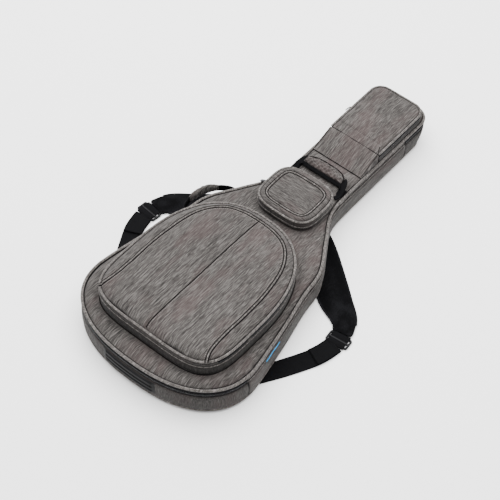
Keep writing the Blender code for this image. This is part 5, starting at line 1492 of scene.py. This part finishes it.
def build_slider(node, body, pull_body):
    """Slider: waisted body with a bridge over it, and a pull with an eye and a rubbed rib."""
    low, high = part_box(node)
    centre, half = np.array((low + high) / 2), np.array((high - low) / 2)
    rings = []
    for v in np.linspace(-1, 1, 18):
        waist = 1.0 - 0.30 * smooth_step(np.array(v), 0.05, 0.75) + 0.04 * math.sin(v * 6)
        round_off = (1 - abs(v) ** 6) ** 0.5 if abs(v) < 1 else 0.35
        ring = []
        for a in np.linspace(0, 2 * math.pi, 16, endpoint=False):
            c, s = math.cos(a), math.sin(a)
            u = squared(c, 0.5) * half[0] * 0.70 * max(0.35, round_off)
            w = squared(s, 0.5) * half[2] * float(waist) * max(0.45, round_off)
            ring.append(centre + (u + half[0] * 0.22, v * half[1], w))
        rings.append(ring)
    loft(node + "_body", rings, body, "metal", stands_for=(node,))
    arch = [centre + (-half[0] * (0.45 + 0.50 * math.sin(math.pi * k / 12)),
                      half[1] * 0.62 * math.cos(math.pi * k / 12), half[2] * 0.5)
            for k in range(13)]
    tube(node + "_bridge", arch, 0.0007, body, "metal", sides=8, up=(0, 0.3, 1))
    pull = node + "_pull"
    centre, axes, half = axes_of(pull)
    long_axis, wide_axis = axes[:2]
    if long_axis[2] > 0:
        long_axis = -long_axis
    outline = []
    for k in range(64):
        a = 2 * math.pi * k / 64
        c, s = math.cos(a), math.sin(a)
        u = squared(c, 0.45) * half[0] * 0.985
        taper = 0.60 + 0.36 * (u / half[0] + 1) / 2
        outline.append((u, squared(s, 0.55) * half[1] * taper))
    hole = [(-half[0] * 0.80 + 0.0016 * math.cos(-2 * math.pi * k / 20),
             0.0016 * math.sin(-2 * math.pi * k / 20)) for k in range(20)]
    curve = bpy.data.curves.new(pull + "_tab", "CURVE")
    curve.dimensions, curve.fill_mode = "2D", "BOTH"
    curve.extrude, curve.bevel_depth, curve.bevel_resolution = half[2] * 0.55, half[2] * 0.35, 2
    for ring in (outline, hole):
        line = curve.splines.new("POLY")
        line.points.add(len(ring) - 1)
        for target, p in zip(line.points, ring):
            target.co = (p[0], p[1], 0, 1)
        line.use_cyclic_u = True
    source = bpy.data.objects.new(pull + "_source", curve)
    bpy.context.scene.collection.objects.link(source)
    mesh = bpy.data.meshes.new_from_object(source.evaluated_get(bpy.context.evaluated_depsgraph_get()))
    bpy.data.objects.remove(source)
    obj = bpy.data.objects.new(pull + "_tab", mesh)
    thin = np.cross(long_axis, wide_axis)
    turn = Matrix((tuple(long_axis), tuple(wide_axis), tuple(thin))).transposed().to_4x4()
    mesh.transform(Matrix.Translation(tuple(centre)) @ turn)
    dress(obj, pull_body, "metal", (pull,))
    obj.data.set_sharp_from_angle(angle=math.radians(40))
    rib = [centre + long_axis * half[0] * s + thin * (half[2] * 0.80) * (1 if thin[0] < 0 else -1)
           for s in np.linspace(-0.35, 0.82, 12)]
    tube(pull + "_rib", rib, 0.0006, pull_body, "metal", sides=8, up=tuple(wide_axis))


# ================================================================= studio
def build_studio():
    floor_mesh = bpy.data.meshes.new("studio_floor")
    floor_mesh.from_pydata([(-9, -9, -0.0004), (9, -9, -0.0004), (9, 9, -0.0004), (-9, 9, -0.0004)], [],
                           [(0, 1, 2, 3)])
    floor = bpy.data.objects.new("studio_floor", floor_mesh)
    bpy.context.scene.collection.objects.link(floor)
    mat = bpy.data.materials.new("pale_floor")
    mat.use_nodes = True
    shader = mat.node_tree.nodes["Principled BSDF"]
    shader.inputs["Base Color"].default_value = (0.93, 0.93, 0.93, 1)
    shader.inputs["Roughness"].default_value = 0.9
    shader.inputs["Specular IOR Level"].default_value = 0.1
    floor_mesh.materials.append(mat)
    world = bpy.data.worlds.new("studio")
    bpy.context.scene.world = world
    world.use_nodes = True
    world.node_tree.nodes["Background"].inputs["Color"].default_value = (1.0, 1.0, 1.0, 1.0)
    world.node_tree.nodes["Background"].inputs["Strength"].default_value = 1.0
    for name, place, aim, size, power in (
            ("overhead", (-0.5, 0.5, 4.0), (0, -0.1, 0), 6.0, 720.0),
            ("edge", (-1.9, 1.3, 1.5), (0, 0, 0), 1.4, 30.0)):
        light = bpy.data.lights.new(name, "AREA")
        light.shape, light.size, light.energy = "DISK", size, power
        obj = bpy.data.objects.new(name, light)
        bpy.context.scene.collection.objects.link(obj)
        obj.location = place
        obj.rotation_mode = "QUATERNION"
        obj.rotation_quaternion = (Vector(place) - Vector(aim)).to_track_quat("Z", "Y")


def build_camera():
    azimuth, elevation, roll = math.radians(38.49), math.radians(52.58), math.radians(1.51)
    back = Vector((math.sin(azimuth) * math.cos(elevation), -math.cos(azimuth) * math.cos(elevation),
                   math.sin(elevation)))
    right = Vector((math.cos(azimuth), math.sin(azimuth), 0))
    up = back.cross(right)
    right, up = right * math.cos(roll) + up * math.sin(roll), up * math.cos(roll) - right * math.sin(roll)
    camera = bpy.data.objects.new("camera", bpy.data.cameras.new("camera"))
    bpy.context.scene.collection.objects.link(camera)
    camera.data.lens, camera.data.sensor_width = 108.0, 36.0
    turn = Matrix((right, up, back)).transposed().to_4x4()
    camera.matrix_world = Matrix.Translation((1.3118, -1.2310 - ORIGIN_STATION, 2.8118 + STRAP_LAYER)) @ turn
    camera.data.clip_start, camera.data.clip_end = 0.05, 60.0
    bpy.context.scene.camera = camera


build_camera()
build_studio()
build_back()
build_walls()
build_main_zip()
build_lid()
build_large_pocket()
build_small_pocket()
build_head_pocket()
build_front_handle()
build_side_handle()
build_strap(-1, "left")
build_strap(1, "right")
build_yoke()
build_bumper()
build_tag()
build_inner()
for slider_node, slider_body, pull_body in (
        ("main_slider_lower", "main_slider_lower", "main_pull_lower"),
        ("main_slider_upper", "main_slider_upper", "main_pull_upper"),
        ("large_pocket_slider", "large_pocket_slider", "large_pocket_pull"),
        ("small_pocket_slider", "small_pocket_slider", "small_pocket_pull"),
        ("head_pocket_slider", "head_pocket_slider", "head_pocket_pull")):
    build_slider(slider_node, slider_body, pull_body)
